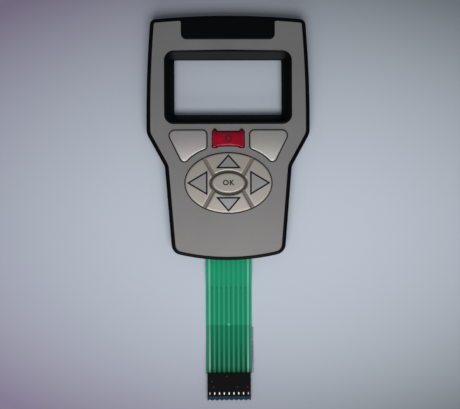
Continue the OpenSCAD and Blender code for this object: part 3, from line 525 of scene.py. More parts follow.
# Keys
# Rings of a cap: a foot, an upright wall, an edge rounded by a quarter circle, and a face that shrinks to its
# middle. The height is a function of the place
def capRings(loop, foot, height, edge, middle, faceRings=14):
    loop = dense(loop)
    rings = [lifted(inset(loop, shift), z) for shift, z in foot]
    for angle in np.linspace(0, math.pi / 2, 7):
        ring = inset(loop, edge * (1 - math.cos(angle)))
        rings.append(lifted(ring, height(ring) - edge * (1 - math.sin(angle))))
    face = inset(loop, edge)
    for share in np.linspace(1, 0, faceRings + 1)[1:-1]:
        ring = middle + (face - middle) * share
        rings.append(lifted(ring, height(ring)))
    return np.array(rings)


# The flange that holds a key under the deck, as the first rings of its cap
def flangeRings(width):
    return [(-width, levels["flange"]), (-width, levels["flangeTop"]), (0, levels["flangeTop"])]


# A keytop: a cap with a small chamfer at its foot, under the common dome
def ovalKey(name, node, loop, raised):
    chamfer, low = ovalPad["footChamfer"], levels["platform"]
    foot = [(chamfer, low), (0, low + chamfer), (0, levels["groove"])]
    rings = capRings(loop, foot, lambda p: domeAt(p, raised), ovalPad["edge"], keytopMiddle(name))
    rings[..., 1] += ovalPad["y"]
    piece = ringSolid(f"keytop_{name}", rings)
    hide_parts(node)
    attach(piece, name)
    return piece


keytops = keytopLoops()
nodeOf = dict(up="key_up", down="key_down", left="key_left", right="key_right", function="function_key")
ovalKeys = {name: ovalKey(name, nodeOf[name], loop, ovalPad["centreRise"] if name == "function" else 0)
            for name, loop in keytops.items()}
print("keytops made:", len(ovalKeys))

softKey = dict(
    inner=11.25, outer=32.3, top=3.95, lean=26.2, spacing=4.3, radii=(2.2, 1.9, 2.2, 2.7), room=(1.2, 2.0),
    edgeHeight=0.6, crown=0.65, reach=12.0, crest=3.0, edge=0.55, flange=1.0)


# The right soft key: two straight sides, a leaning one, and one that keeps a constant spacing to the oval
def softLoop():
    a, b = ovalA + softKey["spacing"], ovalB + softKey["spacing"]
    centre = np.array([0, ovalPad["y"]])
    innerTop, outerTop = np.array([[softKey["inner"], softKey["top"]], [softKey["outer"], softKey["top"]]])
    innerFoot = np.array([softKey["inner"], ovalPad["y"] + b * math.sqrt(1 - (softKey["inner"] / a) ** 2)])
    lean = math.radians(softKey["lean"])
    down = np.array([math.sin(lean), math.cos(lean)])
    tip = centre + lineToOval(outerTop - centre, down, a, b)
    start, end = ovalAngle(innerFoot - centre, a, b), ovalAngle(tip - centre, a, b)
    r, room = softKey["radii"], softKey["room"]
    arc = ovalArc(a, b, start, end, 30) + [0, ovalPad["y"], 0]
    arc = clearOf(arc, (innerFoot, room[0] * r[1]), (tip, room[1] * r[2]))
    corners = [[*innerTop, r[0]], [*innerFoot, r[1]], *arc, [*tip, r[2]], [*outerTop, r[3]]]
    return rounded(corners), (innerFoot + tip + outerTop + innerTop) / 4


softRight, softMiddle = softLoop()


# A soft key's cap: its height falls with the square of the distance from a crest above its middle
def makeSoftKey(name, node, loop, middle):
    def height(p):
        fall = ((p - middle - [0, softKey["crest"]]) ** 2).sum(-1) / softKey["reach"] ** 2
        return levels["face"] + softKey["edgeHeight"] + softKey["crown"] * (1 - fall)

    rings = capRings(loop, flangeRings(softKey["flange"]), height, softKey["edge"], middle, 16)
    piece = ringSolid(f"cap_{name}", rings)
    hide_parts(node)
    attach(piece, name)
    return piece


softKeys = [makeSoftKey("soft_right", "soft_key_right", softRight, softMiddle),
            makeSoftKey("soft_left", "soft_key_left", mirrored(softRight), softMiddle * [-1, 1])]

powerKey = dict(
    width=16.3, top=3.2, bottom=-4.45, face=0.8, arch=0.4, dish=0.35, edge=0.42, corner=0.441, middleY=-0.6,
    rail=2.05, railTip=1.6, railTipX=0.9225, railShoulder=0.32, railTail=0.45, railHeight=1.35, railFall=0.5,
    railSink=0.4, flange=1.0, lipY=-2.6, lipWidth=1.8, lipFall=0.3, lipEnds=0.8,
    holeCorner=0.2, holeTop=0.96, holeArch=0.95, paintedShadeY=(-0.5, 3.6))
railIn = powerKey["width"] / 2 - powerKey["rail"]
slabX = railIn + powerKey["rail"] / 2
railFoot, railTop = powerKey["bottom"] - powerKey["railTail"], powerKey["top"] + powerKey["railTip"]


# The arched lower edge of the power key's slab out to x: a parabola over the slab's half width
def slabArch(x):
    return powerKey["bottom"] + powerKey["arch"] * (1 - (x / slabX) ** 2)


# The power key: a slab between two rails with pointed upper ends. Its face rises with the square of x,
# and rolls off by a parabola towards its arched lower edge
def makePowerKey():
    k = powerKey
    r, wide = k["corner"], k["width"] / 2
    arch = slabX * np.arange(-5, 6) / 6
    slab = rounded([[slabX, k["bottom"], r], [slabX, k["top"], r], [-slabX, k["top"], r],
                    [-slabX, k["bottom"], r], *rowsOf(arch, slabArch(arch))], 6)
    rail = rounded([[railIn, railFoot, r], [wide, railFoot, r], [wide, k["top"], r],
                    [railIn + k["railTipX"], railTop, r], [railIn, k["top"] + k["railShoulder"], r]], 6)

    def slabHeight(p):
        low, side = np.clip((k["lipY"] - p[..., 1]) / k["lipWidth"], 0, 1), (p[..., 0] / railIn) ** 2
        lip = k["lipFall"] * low**2 * (1 - k["lipEnds"] * side)
        return levels["face"] + k["face"] + k["dish"] * side - lip

    def railHeight(p):
        return levels["face"] + k["railHeight"] - k["railFall"] * np.maximum(0, p[..., 1] - k["top"])

    rings = capRings(slab, flangeRings(k["flange"]), slabHeight, k["edge"], np.array([0, k["middleY"]]))
    pieces = [ringSolid("power_slab", rings)]
    foot = [(0, levels["flangeTop"] - k["railSink"])]
    for side, loop, x in (("right", rail, slabX), ("left", mirrored(rail), -slabX)):
        rings = capRings(loop, foot, railHeight, k["edge"], np.array([x, 0]))
        pieces.append(ringSolid(f"power_rail_{side}", rings))
    for piece in pieces:
        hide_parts("power_key")
        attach(piece, "power")
    return pieces, slabHeight


powerPieces, slabHeight = makePowerKey()
print("soft keys and power key made")

# Frame and fascia
bezel = dict(
    width=66.5, height=38.6, y=26.55, radius=5.0, arch=0.5,
    # the slope spans bound the frame's painted sheen on the bezel's upper slope
    slopeFrom=(40.8, 42), slopeTo=(44.4, 45.4), slopeX=(27, 31))
pad = dict(width=48.8, y=51.35, radius=2.9, tabRadius=0.8, topEdgeY=56.35)


# The bezel's outline, grown by a distance: a rounded rectangle whose upper edge rises a little to its middle
def bezelLoop(grow):
    x, y, r = bezel["width"] / 2 + grow, bezel["height"] / 2 + grow, bezel["radius"] + grow
    top = y - bezel["arch"]
    return rounded([[x, -y, r], [x, top, r], [0, y, 0], [-x, top, r], [-x, -y, r]], 12) + [0, bezel["y"]]


# The fascia's outline: the rim's, shrunk, with the pad's notch let into its top edge
def fasciaLoop():
    loop = inset(rimLoop, gaps["fascia"])
    half, r, tabR = pad["width"] / 2 + gaps["fascia"], pad["radius"] + gaps["fascia"], pad["tabRadius"]
    notchY = pad["y"] - gaps["fascia"]
    top = loop[loop[:, 1] > pad["topEdgeY"]]
    tabY = np.interp(half, *top[np.argsort(top[:, 0])].T)
    inNotch = (np.abs(loop[:, 0]) < half + 2 * tabR) & (loop[:, 1] > pad["y"])
    first, last = np.flatnonzero(inNotch)[[0, -1]]
    notch = [[half, tabY, tabR], [half, notchY, r], [-half, notchY, r], [-half, tabY, tabR]]
    plain = rowsOf(*loop.T)
    return rounded(np.concatenate([plain[:first], notch, plain[last + 1:]]))


# The opening for the power key: its slab and rails in one outline, with the inner corners drawn in a little
def powerLoop():
    k = powerKey
    r, inner, wide, top = k["edge"], k["holeCorner"], k["width"] / 2, k["top"]
    tipX, topX = railIn + k["railTipX"], railIn * k["holeTop"]
    x = railIn * np.arange(-5, 6) / 5
    return rounded([
        *rowsOf(x * k["holeArch"], slabArch(x)),
        [railIn, railFoot, inner], [wide, railFoot, r], [wide, top, r], [tipX, railTop, r], [topX, top, 0],
        [-topX, top, 0], [-tipX, railTop, r], [-wide, top, r], [-wide, railFoot, r],
        [-railIn, railFoot, inner]], 6)


keyHoles = [inset(loop, -gaps["key"]) for loop in (softRight, mirrored(softRight), powerLoop())]
keyHoles.append(oval(ovalA + gaps["key"], ovalB + gaps["key"], 128) + [0, ovalPad["y"]])
fasciaLoops = [fasciaLoop(), bezelLoop(gaps["fascia"]), *keyHoles]
fascia = flatPiece("fascia_plate", fasciaLoops, levels["fascia"], levels["face"], panel["fasciaEdge"])
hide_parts("fascia")
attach(fascia, "panel")
moulding = joinedCopy("frame_moulding", "bezel_frame")
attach(moulding, "panel")
print("frame and fascia made")

# Silicone mat
mat = dict(
    back=3.3, top=7.4, bottom=-48.15, edge=0.2, web=0.45, webWidth=1.6, webRise=0.25, footStep=0.012,
    hub=0.5, neck=0.03, bend=0.05, cut=0.1, topCut=0.15, footCut=0.2,
    softPlunger=3.2, plunger=2.3, bossHole=2.6, bosses=((36.5, 3.0), (27.99, -23.5), (21.08, -43.65)))
plungers = dict(  # x, y, radius and top of each
    soft_left=(-softMiddle[0], softMiddle[1], mat["softPlunger"], levels["flange"]),
    soft_right=(*softMiddle, mat["softPlunger"], levels["flange"]),
    power=(0.0, powerKey["middleY"], mat["plunger"], levels["flange"]),
    **{name: (*(keytopMiddle(name) + [0, ovalPad["y"]]), mat["plunger"], levels["platform"])
       for name in keytops})


# The part of a loop between two heights, its half width read off at evenly spaced heights
def bandOf(loop, bottom, top, count=60):
    right = loop[loop[:, 0] > 0]
    right = right[np.argsort(right[:, 1])]
    y = np.linspace(bottom, top, count)
    x = np.interp(y, right[:, 1], right[:, 0])
    return np.concatenate([np.stack([x, y], 1), np.stack([-x, y], 1)[::-1]])


# A circle about x and y
def circleAt(x, y, r, count=48):
    return oval(r, r, count) + [x, y]


matLoops = [bandOf(inset(outer, mat["back"]), mat["bottom"], mat["top"])]
matLoops += [circleAt(x, y, r + mat["webWidth"]) for x, y, r, _ in plungers.values()]
matLoops += [circleAt(side * x, y, mat["bossHole"], 32) for side in (-1, 1) for x, y in mat["bosses"]]
matPieces = [flatPiece("mat_sheet", matLoops, levels["ink"], levels["mat"], mat["edge"])]
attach(matPieces[0], "panel")


# A plunger with its web: one profile of radius and height, turned about the plunger's axis. It runs up the
# underside of the plunger and web, round the web's foot, and back over the web to the plunger's top
def plungerPiece(name, x, y, r, top):
    hole = r + mat["webWidth"]
    foot, middle = hole + mat["footStep"], (r + hole) / 2
    low, high = levels["mat"] - mat["web"] - mat["webRise"], levels["pillTop"] + mat["webRise"]
    pill, sheet, webTop = levels["pillTop"], levels["mat"], high + mat["web"]
    hub, cut, bend, topCut = r * mat["hub"], mat["cut"], mat["bend"], mat["topCut"]
    profile = np.array([
        (hub, pill), (r - cut, pill), (r, pill + cut), (r + mat["neck"], high),
        (middle, (low + high) / 2 + bend), (hole, low), (foot, low + mat["footCut"]), (foot, sheet - cut),
        (hole - bend, sheet), (middle + cut, (sheet + webTop) / 2 + bend), (r + mat["webRise"], webTop),
        (r, webTop + mat["webRise"]), (r, top - topCut), (r - topCut, top), (hub, top)])
    circle = oval(1, 1, 48)
    heights = np.repeat(profile[:, None, 1:], len(circle), 1)
    rings = np.concatenate([profile[:, :1, None] * circle + [x, y], heights], -1)
    piece = ringSolid(f"plunger_{name}", rings)
    x * mm
    y * mm
    x * mm
    y * mm
    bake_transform(piece)
    return piece


matPieces += [plungerPiece(name, *place) for name, place in plungers.items()]


# Floor of one straight groove: straight across, and along it from the inner oval to the outer one
def grooveFloor(name, signX, signY):
    widened = grooveSide * (1 + 2 * ovalPad["floorSpare"] / ovalPad["groove"])
    lines = [grooveStart + widened * t for t in np.linspace(-1, 1, 7)]
    inner = [lineToOval(p, grooveAlong, ringA, ringB) for p in lines]
    outerEnd = [lineToOval(p, grooveAlong, ovalA, ovalB) for p in lines]
    loop = np.array(outerEnd + inner[::-1]) * [signX, signY] + [0, ovalPad["y"]]
    loop = loop if signX * signY > 0 else loop[::-1]
    return ringSolid(f"groove_{name}", [lifted(loop, levels["platform"]), lifted(loop, levels["groove"])])


# Floor of the ring groove, a little wider than the groove so that the keytops' edges stand on it
def ringFloor():
    shrink = ovalPad["ring"] + ovalPad["ringSpare"]
    out, into = (oval(ringA - d, ringB - d, 96) + [0, ovalPad["y"]] for d in (0, shrink))
    low, high = levels["platform"], levels["groove"]
    corners = ((out, low), (out, high), (into, high), (into, low))
    return ringTube("groove_ring", [lifted(loop, z) for loop, z in corners])


grooves = [ringFloor()] + [grooveFloor(f"{v}_{h}", x, y)
                           for v, y in (("upper", 1), ("lower", -1)) for h, x in (("left", -1), ("right", 1))]
for piece in grooves:
    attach(piece, "panel")
matPieces += grooves
for piece in matPieces:
    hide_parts("keypad_mat")
print("mat made:", len(matPieces), "pieces")

# Printed marks
marks = dict(  # up, down, left and right: distances of a triangle's tip and base from the oval's centre
    line=0.85, raised=0.012, fieldRaised=0.006, sunk=0.03, halfBase=5.7, up=(14.3, 7.95), down=(14.45, 7.75),
    left=(20.9, 11.3), right=(21.1, 11.65), ring=(1.95, 1.05), ringLift=0.3, ringThicker=0.15,
    textSize=3.78, textSpacing=1.15, bold=0.11)


# A polygon's corners with further points evenly along each edge
def resampled(corners, perEdge):
    c = np.array(corners, float)
    t = np.linspace(0, 1, perEdge, endpoint=False)[:, None]
    return np.concatenate([a + (b - a) * t for a, b in zip(c, np.roll(c, -1, 0))])


# A printed line round a loop: a flat band from a little under the surface to a little above it
def bandMark(name, body, outerLoop, innerLoop, height, shift=(0, 0)):
    def at(loop, rise):
        return lifted(loop + shift, height(loop) + rise)

    up, down = marks["raised"], -marks["sunk"]
    piece = ringTube(name, [at(outerLoop, down), at(outerLoop, up), at(innerLoop, up), at(innerLoop, down)])
    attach(piece, body)
    return piece


# A printed area: the loop, shrunk in steps to its middle, on the surface under it
def areaMark(name, body, loop, height, shift):
    middle = loop.mean(0)
    shrunk = [middle + (loop - middle) * share for share in (1, 0.75, 0.5, 0.25)]
    rings = [lifted(loop + shift, height(loop) - marks["sunk"])]
    rings += [lifted(ring + shift, height(ring) + marks["fieldRaised"]) for ring in shrunk]
    piece = ringSolid(name, rings)
    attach(piece, body)
    return piece


# Corners of a key's triangle: its base and then its tip, as seen from the oval's centre
def triangleLoop(name):
    tip, base = marks[name]
    along = np.array(dict(up=(0, 1), down=(0, -1), right=(1, 0), left=(-1, 0))[name])
    across = np.array([-along[1], along[0]]) * marks["halfBase"]
    return resampled([along * base + across, along * base - across, along * tip], 12)


onOval = (0, ovalPad["y"])
lineMarks, areaMarks = [], []
for name in ("up", "down", "right", "left"):
    loop = triangleLoop(name)
    wide, narrow = inset(loop, -marks["line"] / 2), inset(loop, marks["line"] / 2)
    field = narrow if name in ("up", "down") else wide  # the side keys' fields reach under the whole line
    lineMarks.append(bandMark(f"arrow_{name}", name, wide, narrow, domeAt, onOval))
    areaMarks.append(areaMark(f"arrow_field_{name}", name, field, domeAt, onOval))


# The power key's sign: a ring whose line is thicker above
signMiddle = [0, powerKey["middleY"] + marks["ringLift"]]
signOuter, signInner = (oval(r, r, 48) + signMiddle for r in marks["ring"])
powerSign = bandMark("power_sign", "power", signOuter, signInner - [0, marks["ringThicker"]], slabHeight)
lineMarks.append(powerSign)


# Letters as a thin mesh, laid on the centre key's dome
def letters(name, body, words, height):
    curve = bpy.data.curves.new(name, "FONT")
    curve.body = words
    curve.size = marks["textSize"] * mm
    curve.space_character = marks["textSpacing"]
    curve.align_x = "CENTER"
    curve.align_y = "CENTER"
    curve.extrude = (marks["raised"] + marks["sunk"]) / 2 * mm
    curve.offset = marks["bold"] * mm
    source = placed(name + "_curve", curve)
    mesh = finalMesh(source)
    bpy.data.objects.remove(source)
    co = np.zeros(len(mesh.vertices) * 3)
    mesh.vertices.foreach_get("co", co)
    co = co.reshape(-1, 3) / mm
    co[:, 2] += height(co[:, :2]) + (marks["raised"] - marks["sunk"]) / 2
    co[:, 1] += ovalPad["y"]
    mesh.vertices.foreach_set("co", (co * mm).ravel())
    mesh.name = name
    piece = placed(name, mesh)
    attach(piece, body)
    return piece


lineMarks.append(letters("centre_letters", "function", "OK", lambda p: domeAt(p, ovalPad["centreRise"])))
print("marks printed:", len(lineMarks) + len(areaMarks))

# Circuit, plate, pillars and connector
copies = {}
for node in ("case_pillars", "fascia_adhesive", "membrane_circuit", "conductor_strips", "circuit_adhesive",
             "backing_plate", "backing_screws", "tail_stiffener", "connector_housing", "crimp_terminals"):
    copies[node] = joinedCopy(f"{node}_smooth", node, 30)
    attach(copies[node], "panel")
print("films, plate and connector copied")

# Tail and connector: places in millimetres, and the colours of gaps, conductors and margins along y. These
# step where the clear film lies under the tail and darken towards the connector as painted shade
tail = dict(
    pitch=2.54, outerX=(8.8, 8.9), marginX=(10.9, 11.3), spotsX=10.0, spotsY=-78.9, speck=(-5.6, -91.1, 0.45),
    dot=(0.0, -98.2, 0.75), frontY=-135.9, contactY=-134.45,
    contactX=(0.04, 0.15), contactReach=(0.2, 0.85), dimmerX=(7, 11),
    dust=((-1.0, -125.3), (-9.0, -128.1), (9.8, -131.0), (4.4, -130.9), (-8.2, -131.0)), dustRadius=0.45,
    gapColors=[(-124, (0.001, 0.012, 0.006)), (-121, (0.001, 0.04, 0.022)), (-117, (0.001, 0.062, 0.032)),
               (-108, (0.002, 0.1, 0.052)), (-99, (0.002, 0.125, 0.063)), (-98, (0.004, 0.185, 0.097)),
               (-80, (0.005, 0.19, 0.099)), (-76, (0.006, 0.215, 0.105)), (-60, (0.006, 0.22, 0.107))],
    trackColors=[(-124, (0.025, 0.08, 0.05)), (-121, (0.03, 0.16, 0.085)), (-117, (0.028, 0.18, 0.094)),
                 (-99, (0.018, 0.19, 0.09)), (-98, (0.03, 0.26, 0.133)), (-80, (0.028, 0.26, 0.13)),
                 (-76, (0.018, 0.245, 0.12)), (-60, (0.017, 0.245, 0.12))],
    outerColors=[(-124, (0.08, 0.17, 0.12)), (-121, (0.16, 0.33, 0.26)), (-117, (0.16, 0.33, 0.25)),
                 (-99, (0.09, 0.28, 0.19)), (-98, (0.12, 0.36, 0.24)), (-60, (0.11, 0.37, 0.25))],
    marginColors=[(-124, (0.03, 0.09, 0.08)), (-117, (0.028, 0.15, 0.125)), (-99, (0.03, 0.19, 0.145)),
                  (-98, (0.02, 0.25, 0.175)), (-60, (0.012, 0.245, 0.17))])


# Finishes: painted pieces, and the colours of the others
paints = dict(
    # below shadeZ each paint turns to painted shade
    fascia_silver=dict(base=(0.153, 0.149, 0.15), metal=0.45, rough=0.45, shadeZ=8.72, flake=0.55,
                       spread=0.13),
    key_silver_right=dict(base=(0.275, 0.272, 0.255), metal=0.6, rough=0.34, shadeZ=8.95),
    key_silver_left=dict(base=(0.295, 0.273, 0.278), metal=0.6, rough=0.34, shadeZ=8.95),
    keytop_beige=dict(base=(0.288, 0.265, 0.24), metal=0.35, rough=0.32, shadeZ=8.85),
    # the groove floors carry the keytops' beige paint, darkened as painted shade, the ring's floor most
    ring_floor_painted_shade=dict(base=(0.034, 0.026, 0.02), metal=0.1, rough=0.5),
    groove_floor_painted_shade=dict(base=(0.135, 0.115, 0.1), metal=0.1, rough=0.5),
    field_grey=dict(base=(0.21, 0.205, 0.206), metal=0.35, rough=0.34))
tints = dict(
    # the frame's second tint is a painted sheen on the bezel's upper slope
    frame=((0.0018, 0.002, 0.0024), (0.015, 0.0165, 0.0175)),  # plain, bezel's upper slope
    connector=((0.002, 0.002, 0.002), (0.008, 0.025, 0.047), (0.05, 0.055, 0.055)),  # plain, front edge, dust
    # the red's third tint is painted shade at the power key's upper edge
    red=((0.21, 0.0001, 0.01), (0.27, 0.0003, 0.014), (0.115, 0.0001, 0.005)),  # two plain ones, upper edge
    film=((0.001, 0.09, 0.035), (0.004, 0.04, 0.03), (0.012, 0.2, 0.12)),  # spots, speck, cloud
    ink=((0.09, 0.45, 0.23), (0.03, 0.25, 0.14)),  # dot, cloud
    tin=((0.006, 0.005, 0.004), (0.45, 0.44, 0.42)),  # in shade, lit
    clear=((0.1, 0.11, 0.12), (0.16, 0.17, 0.18)), adhesive=((0.5, 0.47, 0.38), (0.62, 0.58, 0.48)),
    silicone=(0.2, 0.19, 0.18), carbon=(0.012, 0.012, 0.012), gapShade=(0.012, 0.01, 0.01),
    markBlack=(0.006, 0.007, 0.01), markRed=(0.045, 0.006, 0.01),
    aluminium=(0.72, 0.73, 0.75), steel=(0.55, 0.56, 0.58), brass=(0.72, 0.5, 0.2))


# Moulded black plastic without its colour: a fine grain, and gloss that varies in soft patches
def mouldedBlack(name, rough, shine):
    f = Finish(name, Specular_IOR_Level=shine)
    fine = f.noise(0.35, 2)
    f.feed("Roughness", rough + 0.12 * f.noise(14, 3) + 0.1 * fine)
    f.bump(fine, 0.02, 0.35)
    return f


# The frame: black, with a painted sheen that makes the bezel's upper slope a little greyer where it faces the
# lamps
def frameBlack():
    f = mouldedBlack("frame_black", rough=0.16, shine=0.045)
    x, y = abs(f.length("X")), f.length("Y")
    sheenOnSlope = y.rise(*bezel["slopeFrom"]) * (1 - y.rise(*bezel["slopeTo"])) * (1 - x.rise(*bezel["slopeX"]))
    f.feed("Base Color", f.blend(sheenOnSlope, *tints["frame"]))
    return f


# The connector: black, with a bluish front edge and a few specks of dust
def connectorBlack():
    f = mouldedBlack("connector_black", rough=0.5, shine=0.04)
    plain, front, dust = tints["connector"]
    color = f.blend(f.length("Y") < tail["frontY"], plain, front)
    for x, y in tail["dust"]:
        color = f.blend(0.6 * f.spot(x, y, tail["dustRadius"]), color, dust)
    f.feed("Base Color", color)
    return f


# Paint with fine flakes, turned nearly black below a given height as painted shade, where a key's gap is in
# shade
def painted(name, base, metal, rough, shadeZ=0.0, flake=0.4, spread=0.07):
    f = Finish(name, Metallic=metal)
    flakes, cloud = f.noise(flake, 1), f.noise(18, 2)
    dark, pale = [c * (1 - 2 * spread) for c in base], [c * (1 + 2 * spread) for c in base]
    color = f.blend(0.65 * flakes + 0.35 * cloud, dark, pale)
    f.feed("Base Color", f.blend(f.length("Z").rise(shadeZ - 0.2, shadeZ + 0.1), tints["gapShade"], color))
    f.feed("Roughness", rough + 0.1 * (flakes - 0.5) + 0.05 * cloud)
    f.bump(f.noise(0.6, 2), 0.01, 0.2)
    return f


# Red plastic, with painted shade darkening it towards its upper edge, and a clear coat
def translucentRed():
    f = Finish("red_plastic", Specular_IOR_Level=0.03, Coat_Weight=0.3, Coat_Roughness=0.12)
    cloud = f.noise(3, 2)
    low, high, edge = tints["red"]
    color = f.blend(cloud.rise(0.2, 0.8), low, high)
    # painted shade towards the key's upper edge
    f.feed("Base Color", f.blend(f.length("Y").rise(*powerKey["paintedShadeY"]), color, edge))
    f.feed("Roughness", 0.3 + 0.1 * cloud)
    f.bump(f.noise(0.5, 1), 0.01, 0.15)
    return f


# Matt ink, paler by up to a quarter in fine patches
def printInk(name, base):
    f = Finish(name, Specular_IOR_Level=0.08)
    f.feed("Base Color", f.blend(f.noise(0.5, 2), base, [c * 1.25 for c in base]))
    f.feed("Roughness", 0.5 + 0.1 * f.noise(0.4, 1))
    return f


# Grey silicone with a faint dusty bloom
def siliconeRubber(name, base):
    f = Finish(name)
    cloud = f.noise(6, 3)
    f.feed("Base Color", f.blend(cloud.rise(0.3, 0.8), base, [c * 1.15 for c in base]))
    f.feed("Roughness", 0.55 + 0.15 * cloud)
    f.bump(f.noise(0.3, 2), 0.01, 0.3)
    return f


# Distance from the middle of the nearest conductor, from 0 to 0.5 pitches
def offTrack(f):
    across = f.length("X") / tail["pitch"]
    return f.node("ShaderNodeMath", {"operation": "PINGPONG"}, {0: across, 1: 0.5})


# Green coated film: teal margins, a row of dark spots, and gaps that darken towards the connector as painted
# shade
def circuitFilm():
    f = Finish("green_film", Specular_IOR_Level=0.02)
    x, y = f.length("X"), f.length("Y")
    cloud = f.noise(9, 2, stretch=(1, 0.25, 1))
    spotTint, speckTint, cloudTint = tints["film"]
    color = f.ramp(y, tail["gapColors"])
    margin = abs(x).rise(*tail["marginX"])
    color = f.blend(margin, color, f.ramp(y, tail["marginColors"]))
    gap, row = 0.5 - offTrack(f), (y - tail["spotsY"]) / tail["pitch"]
    spots = 1 - (gap * gap + row * row).rise(0.01, 0.07)
    color = f.blend(spots * (abs(x) < tail["spotsX"]) * 0.5, color, spotTint)
    color = f.blend(f.spot(*tail["speck"]) * 0.6, color, speckTint)
    f.feed("Base Color", f.blend(cloud * 0.22, color, cloudTint))
    f.feed("Roughness", 0.5 + 0.14 * cloud)
    f.bump(f.noise(2.5, 2), 0.03, 0.15)
    return f


# Conductors under the green coat, faint at their edges: the outer two whitish, the inner ones light green,
# all darker towards the connector as painted shade
def coatedInk():
    f = Finish("coated_ink", Specular_IOR_Level=0.02)
    x, y = f.length("X"), f.length("Y")
    cloud = f.noise(7, 3, stretch=(1, 0.2, 1))
    outerTwo = abs(x).rise(*tail["outerX"])
    color = f.blend(outerTwo, f.ramp(y, tail["trackColors"]), f.ramp(y, tail["outerColors"]))
    color = f.blend(offTrack(f).rise(0.13, 0.27), color, f.ramp(y, tail["gapColors"]))
    color = f.blend(f.spot(*tail["dot"]), color, tints["ink"][0])
    f.feed("Base Color", f.blend(cloud * 0.25, color, tints["ink"][1]))
    f.feed("Roughness", 0.5 + 0.12 * cloud)
    f.bump(f.noise(1.2, 2), 0.01, 0.15)
    return f


# Tinned contacts: a painted highlight along the middle of what the housing's windows show, dimmer towards the
# outer ends, and painted shade elsewhere
def contactTin():
    f = Finish("terminal_tin", Metallic=1.0)
    lines = f.noise(0.5, 3, stretch=(1, 0.2, 1))
    x, y = abs(f.length("X")), abs(f.length("Y") - tail["contactY"])
    lit = (1 - offTrack(f).rise(*tail["contactX"])) * (1 - y.rise(*tail["contactReach"]))
    lit = lit * (1 - 0.6 * x.rise(*tail["dimmerX"]))
    f.feed("Base Color", f.blend(lit, *tints["tin"]))
    f.feed("Roughness", 0.4 + 0.15 * lines)
    f.bump(lines, 0.01, 0.25)
    return f


# Smoke-tinted clear film, a little uneven in its gloss
def clearFilm():
    f = Finish("clear_film", Alpha=0.45, Specular_IOR_Level=0.3)
    f.feed("Base Color", f.blend(f.noise(5, 2), *tints["clear"]))
    f.feed("Roughness", 0.12 + 0.1 * f.noise(3, 2))
    return f


# Yellowish adhesive, cloudy between two tints
def adhesiveFilm():
    f = Finish("adhesive_film")
    cloud = f.noise(4, 3)
    f.feed("Base Color", f.blend(cloud, *tints["adhesive"]))
    f.feed("Roughness", 0.5 + 0.2 * cloud)
    return f


# Rolled or turned metal: fine scratches, along one direction where the stretch says so
def rolledMetal(name, base, rough=0.28, stretch=(1, 1, 1)):
    f = Finish(name, Metallic=1.0)
    lines = f.noise(0.5, 3, stretch=stretch)
    f.feed("Base Color", f.blend(lines, [c * 0.85 for c in base], base))
    f.feed("Roughness", rough + 0.15 * lines)
    f.bump(lines, 0.01, 0.25)
    return f


paint = {name: painted(name, **look) for name, look in paints.items()}
silicone = siliconeRubber("silicone", tints["silicone"])
carbon = siliconeRubber("carbon", tints["carbon"])

dress(frameBlack(), "frame_black", moulding)
dress(paint["fascia_silver"], "fascia_silver", fascia)
for side, key in zip(("right", "left"), softKeys):
    dress(paint[f"key_silver_{side}"], "key_silver", key)
dress(translucentRed(), "key_red", *powerPieces)
dress(paint["keytop_beige"], "keytop_beige", *ovalKeys.values())
# the groove floors' dark colours are painted shade
dress(paint["ring_floor_painted_shade"], "silicone", grooves[0])
dress(paint["groove_floor_painted_shade"], "silicone", *grooves[1:])
dress(silicone, "silicone", *[piece for piece in matPieces if piece not in grooves])
blackMarks = [piece for piece in lineMarks if piece is not powerSign]
dress(printInk("mark_black", tints["markBlack"]), "keytop_beige", *blackMarks)
dress(printInk("mark_red", tints["markRed"]), "key_red", powerSign)
dress(paint["field_grey"], "keytop_beige", *areaMarks)
dress(circuitFilm(), "circuit_green", copies["membrane_circuit"])
dress(coatedInk(), "conductor", copies["conductor_strips"])
dress(adhesiveFilm(), "adhesive", copies["fascia_adhesive"], copies["circuit_adhesive"])
dress(rolledMetal("plate_aluminium", tints["aluminium"], rough=0.3, stretch=(0.05, 1, 1)),
      "plate_aluminium", copies["backing_plate"])
dress(rolledMetal("screw_steel", tints["steel"]), "screw_steel", copies["backing_screws"])
dress(rolledMetal("pillar_brass", tints["brass"]), "pillar_brass", copies["case_pillars"])
dress(clearFilm(), "clear_film", copies["tail_stiffener"])
dress(connectorBlack(), "connector_black", copies["connector_housing"])
dress(contactTin(), "terminal_tin", copies["crimp_terminals"])
for name in plungers:
    carbon.wear(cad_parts[f"pill_{name}"])
print("pieces dressed")

# Table, light and camera, in metres. The table's colour holds a painted pool of light: palest round the
# centre, it turns darker to the edges' tints over the reach, and to a plain grey further away. Centre, reach
# and side are in millimetres
table = dict(
    size=3.0, z=-0.00002, middle=(0.45, 0.505, 0.575), left=(0.185, 0.15, 0.24), right=(0.09, 0.115, 0.118),
    far=(0.14, 0.14, 0.155), farFrom=(1.2, 2.4), centre=(24, -34), reach=(228, 133), side=130)
lamps = dict(
    ceiling=dict(place=(0.01, -0.27, 0.52), size=(0.45, 0.3), power=2.55, color=(1.0, 0.985, 0.96)),
    window=dict(place=(-0.02, -0.75, 0.36), size=(0.7, 0.3), power=2.8, color=(1.0, 0.985, 0.96)))
aimedAt = (0, -0.03, 0)  # what both lamps point to
sky = dict(color=(0.92, 0.96, 1.0), strength=0.28)
camera = dict(height=0.5, x=0.0009, y=-0.0347, width=0.2438, roll=-0.24, yaw=-1.0, sensor=36)
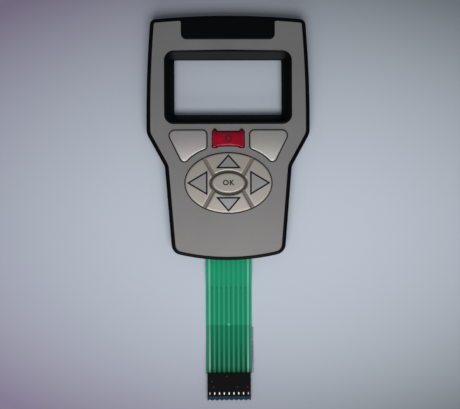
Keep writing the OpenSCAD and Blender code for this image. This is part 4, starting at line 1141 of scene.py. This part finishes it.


# One large square, tinted as painted light by the squared distance from the centre as a share of the reach
def makeTable():
    s = table["size"] / 2
    mesh = bpy.data.meshes.new("table")
    mesh.from_pydata([(-s, -s, table["z"]), (s, -s, table["z"]), (s, s, table["z"]), (-s, s, table["z"])], [],
                     [(0, 1, 2, 3)])
    obj = placed("table", mesh)
    f = Finish("table_paper")
    x, y = f.length("X"), f.length("Y")
    u, v = (x - table["centre"][0]) / table["reach"][0], (y - table["centre"][1]) / table["reach"][1]
    edge = f.blend(0.5 + x / (2 * table["side"]), table["left"], table["right"])
    away = u * u + v * v
    color = f.blend(away, table["middle"], edge)
    f.feed("Base Color", f.blend(away.rise(*table["farFrom"]), color, table["far"]))
    f.feed("Roughness", 0.75 + 0.1 * f.noise(60, 2))
    f.wear(obj)


# Two rectangular lamps and an even sky
def makeLight():
    for name, lamp in lamps.items():
        light = bpy.data.lights.new(name, "AREA")
        light.shape = "RECTANGLE"
        light.size, light.size_y = lamp["size"]
        light.energy, light.color = lamp["power"], lamp["color"]
        obj = placed(name, light)
        obj.location = lamp["place"]
        obj.rotation_euler = (Vector(aimedAt) - obj.location).to_track_quat("-Z", "Y").to_euler()
    world = bpy.data.worlds.new("room")
    bpy.context.scene.world = world
    world.use_nodes = True
    background = world.node_tree.nodes["Background"]
    background.inputs["Color"].default_value = (*sky["color"], 1)
    background.inputs["Strength"].default_value = sky["strength"]


# Straight above the object: the lens shows the given width at the given height
def makeCamera():
    lens = bpy.data.cameras.new("camera")
    lens.sensor_width = camera["sensor"]
    lens.lens = camera["sensor"] * camera["height"] / camera["width"]
    lens.clip_start, lens.clip_end = 0.01, 10
    obj = placed("camera", lens)
    turn, roll = math.radians(camera["yaw"]), math.radians(camera["roll"])
    obj.location = (camera["x"] + camera["height"] * math.tan(turn), camera["y"], camera["height"])
    obj.rotation_euler = (0, turn, roll)
    bpy.context.scene.camera = obj


makeTable()
makeLight()
makeCamera()
bpy.context.scene.view_settings.view_transform = "Standard"

print("scene ready")
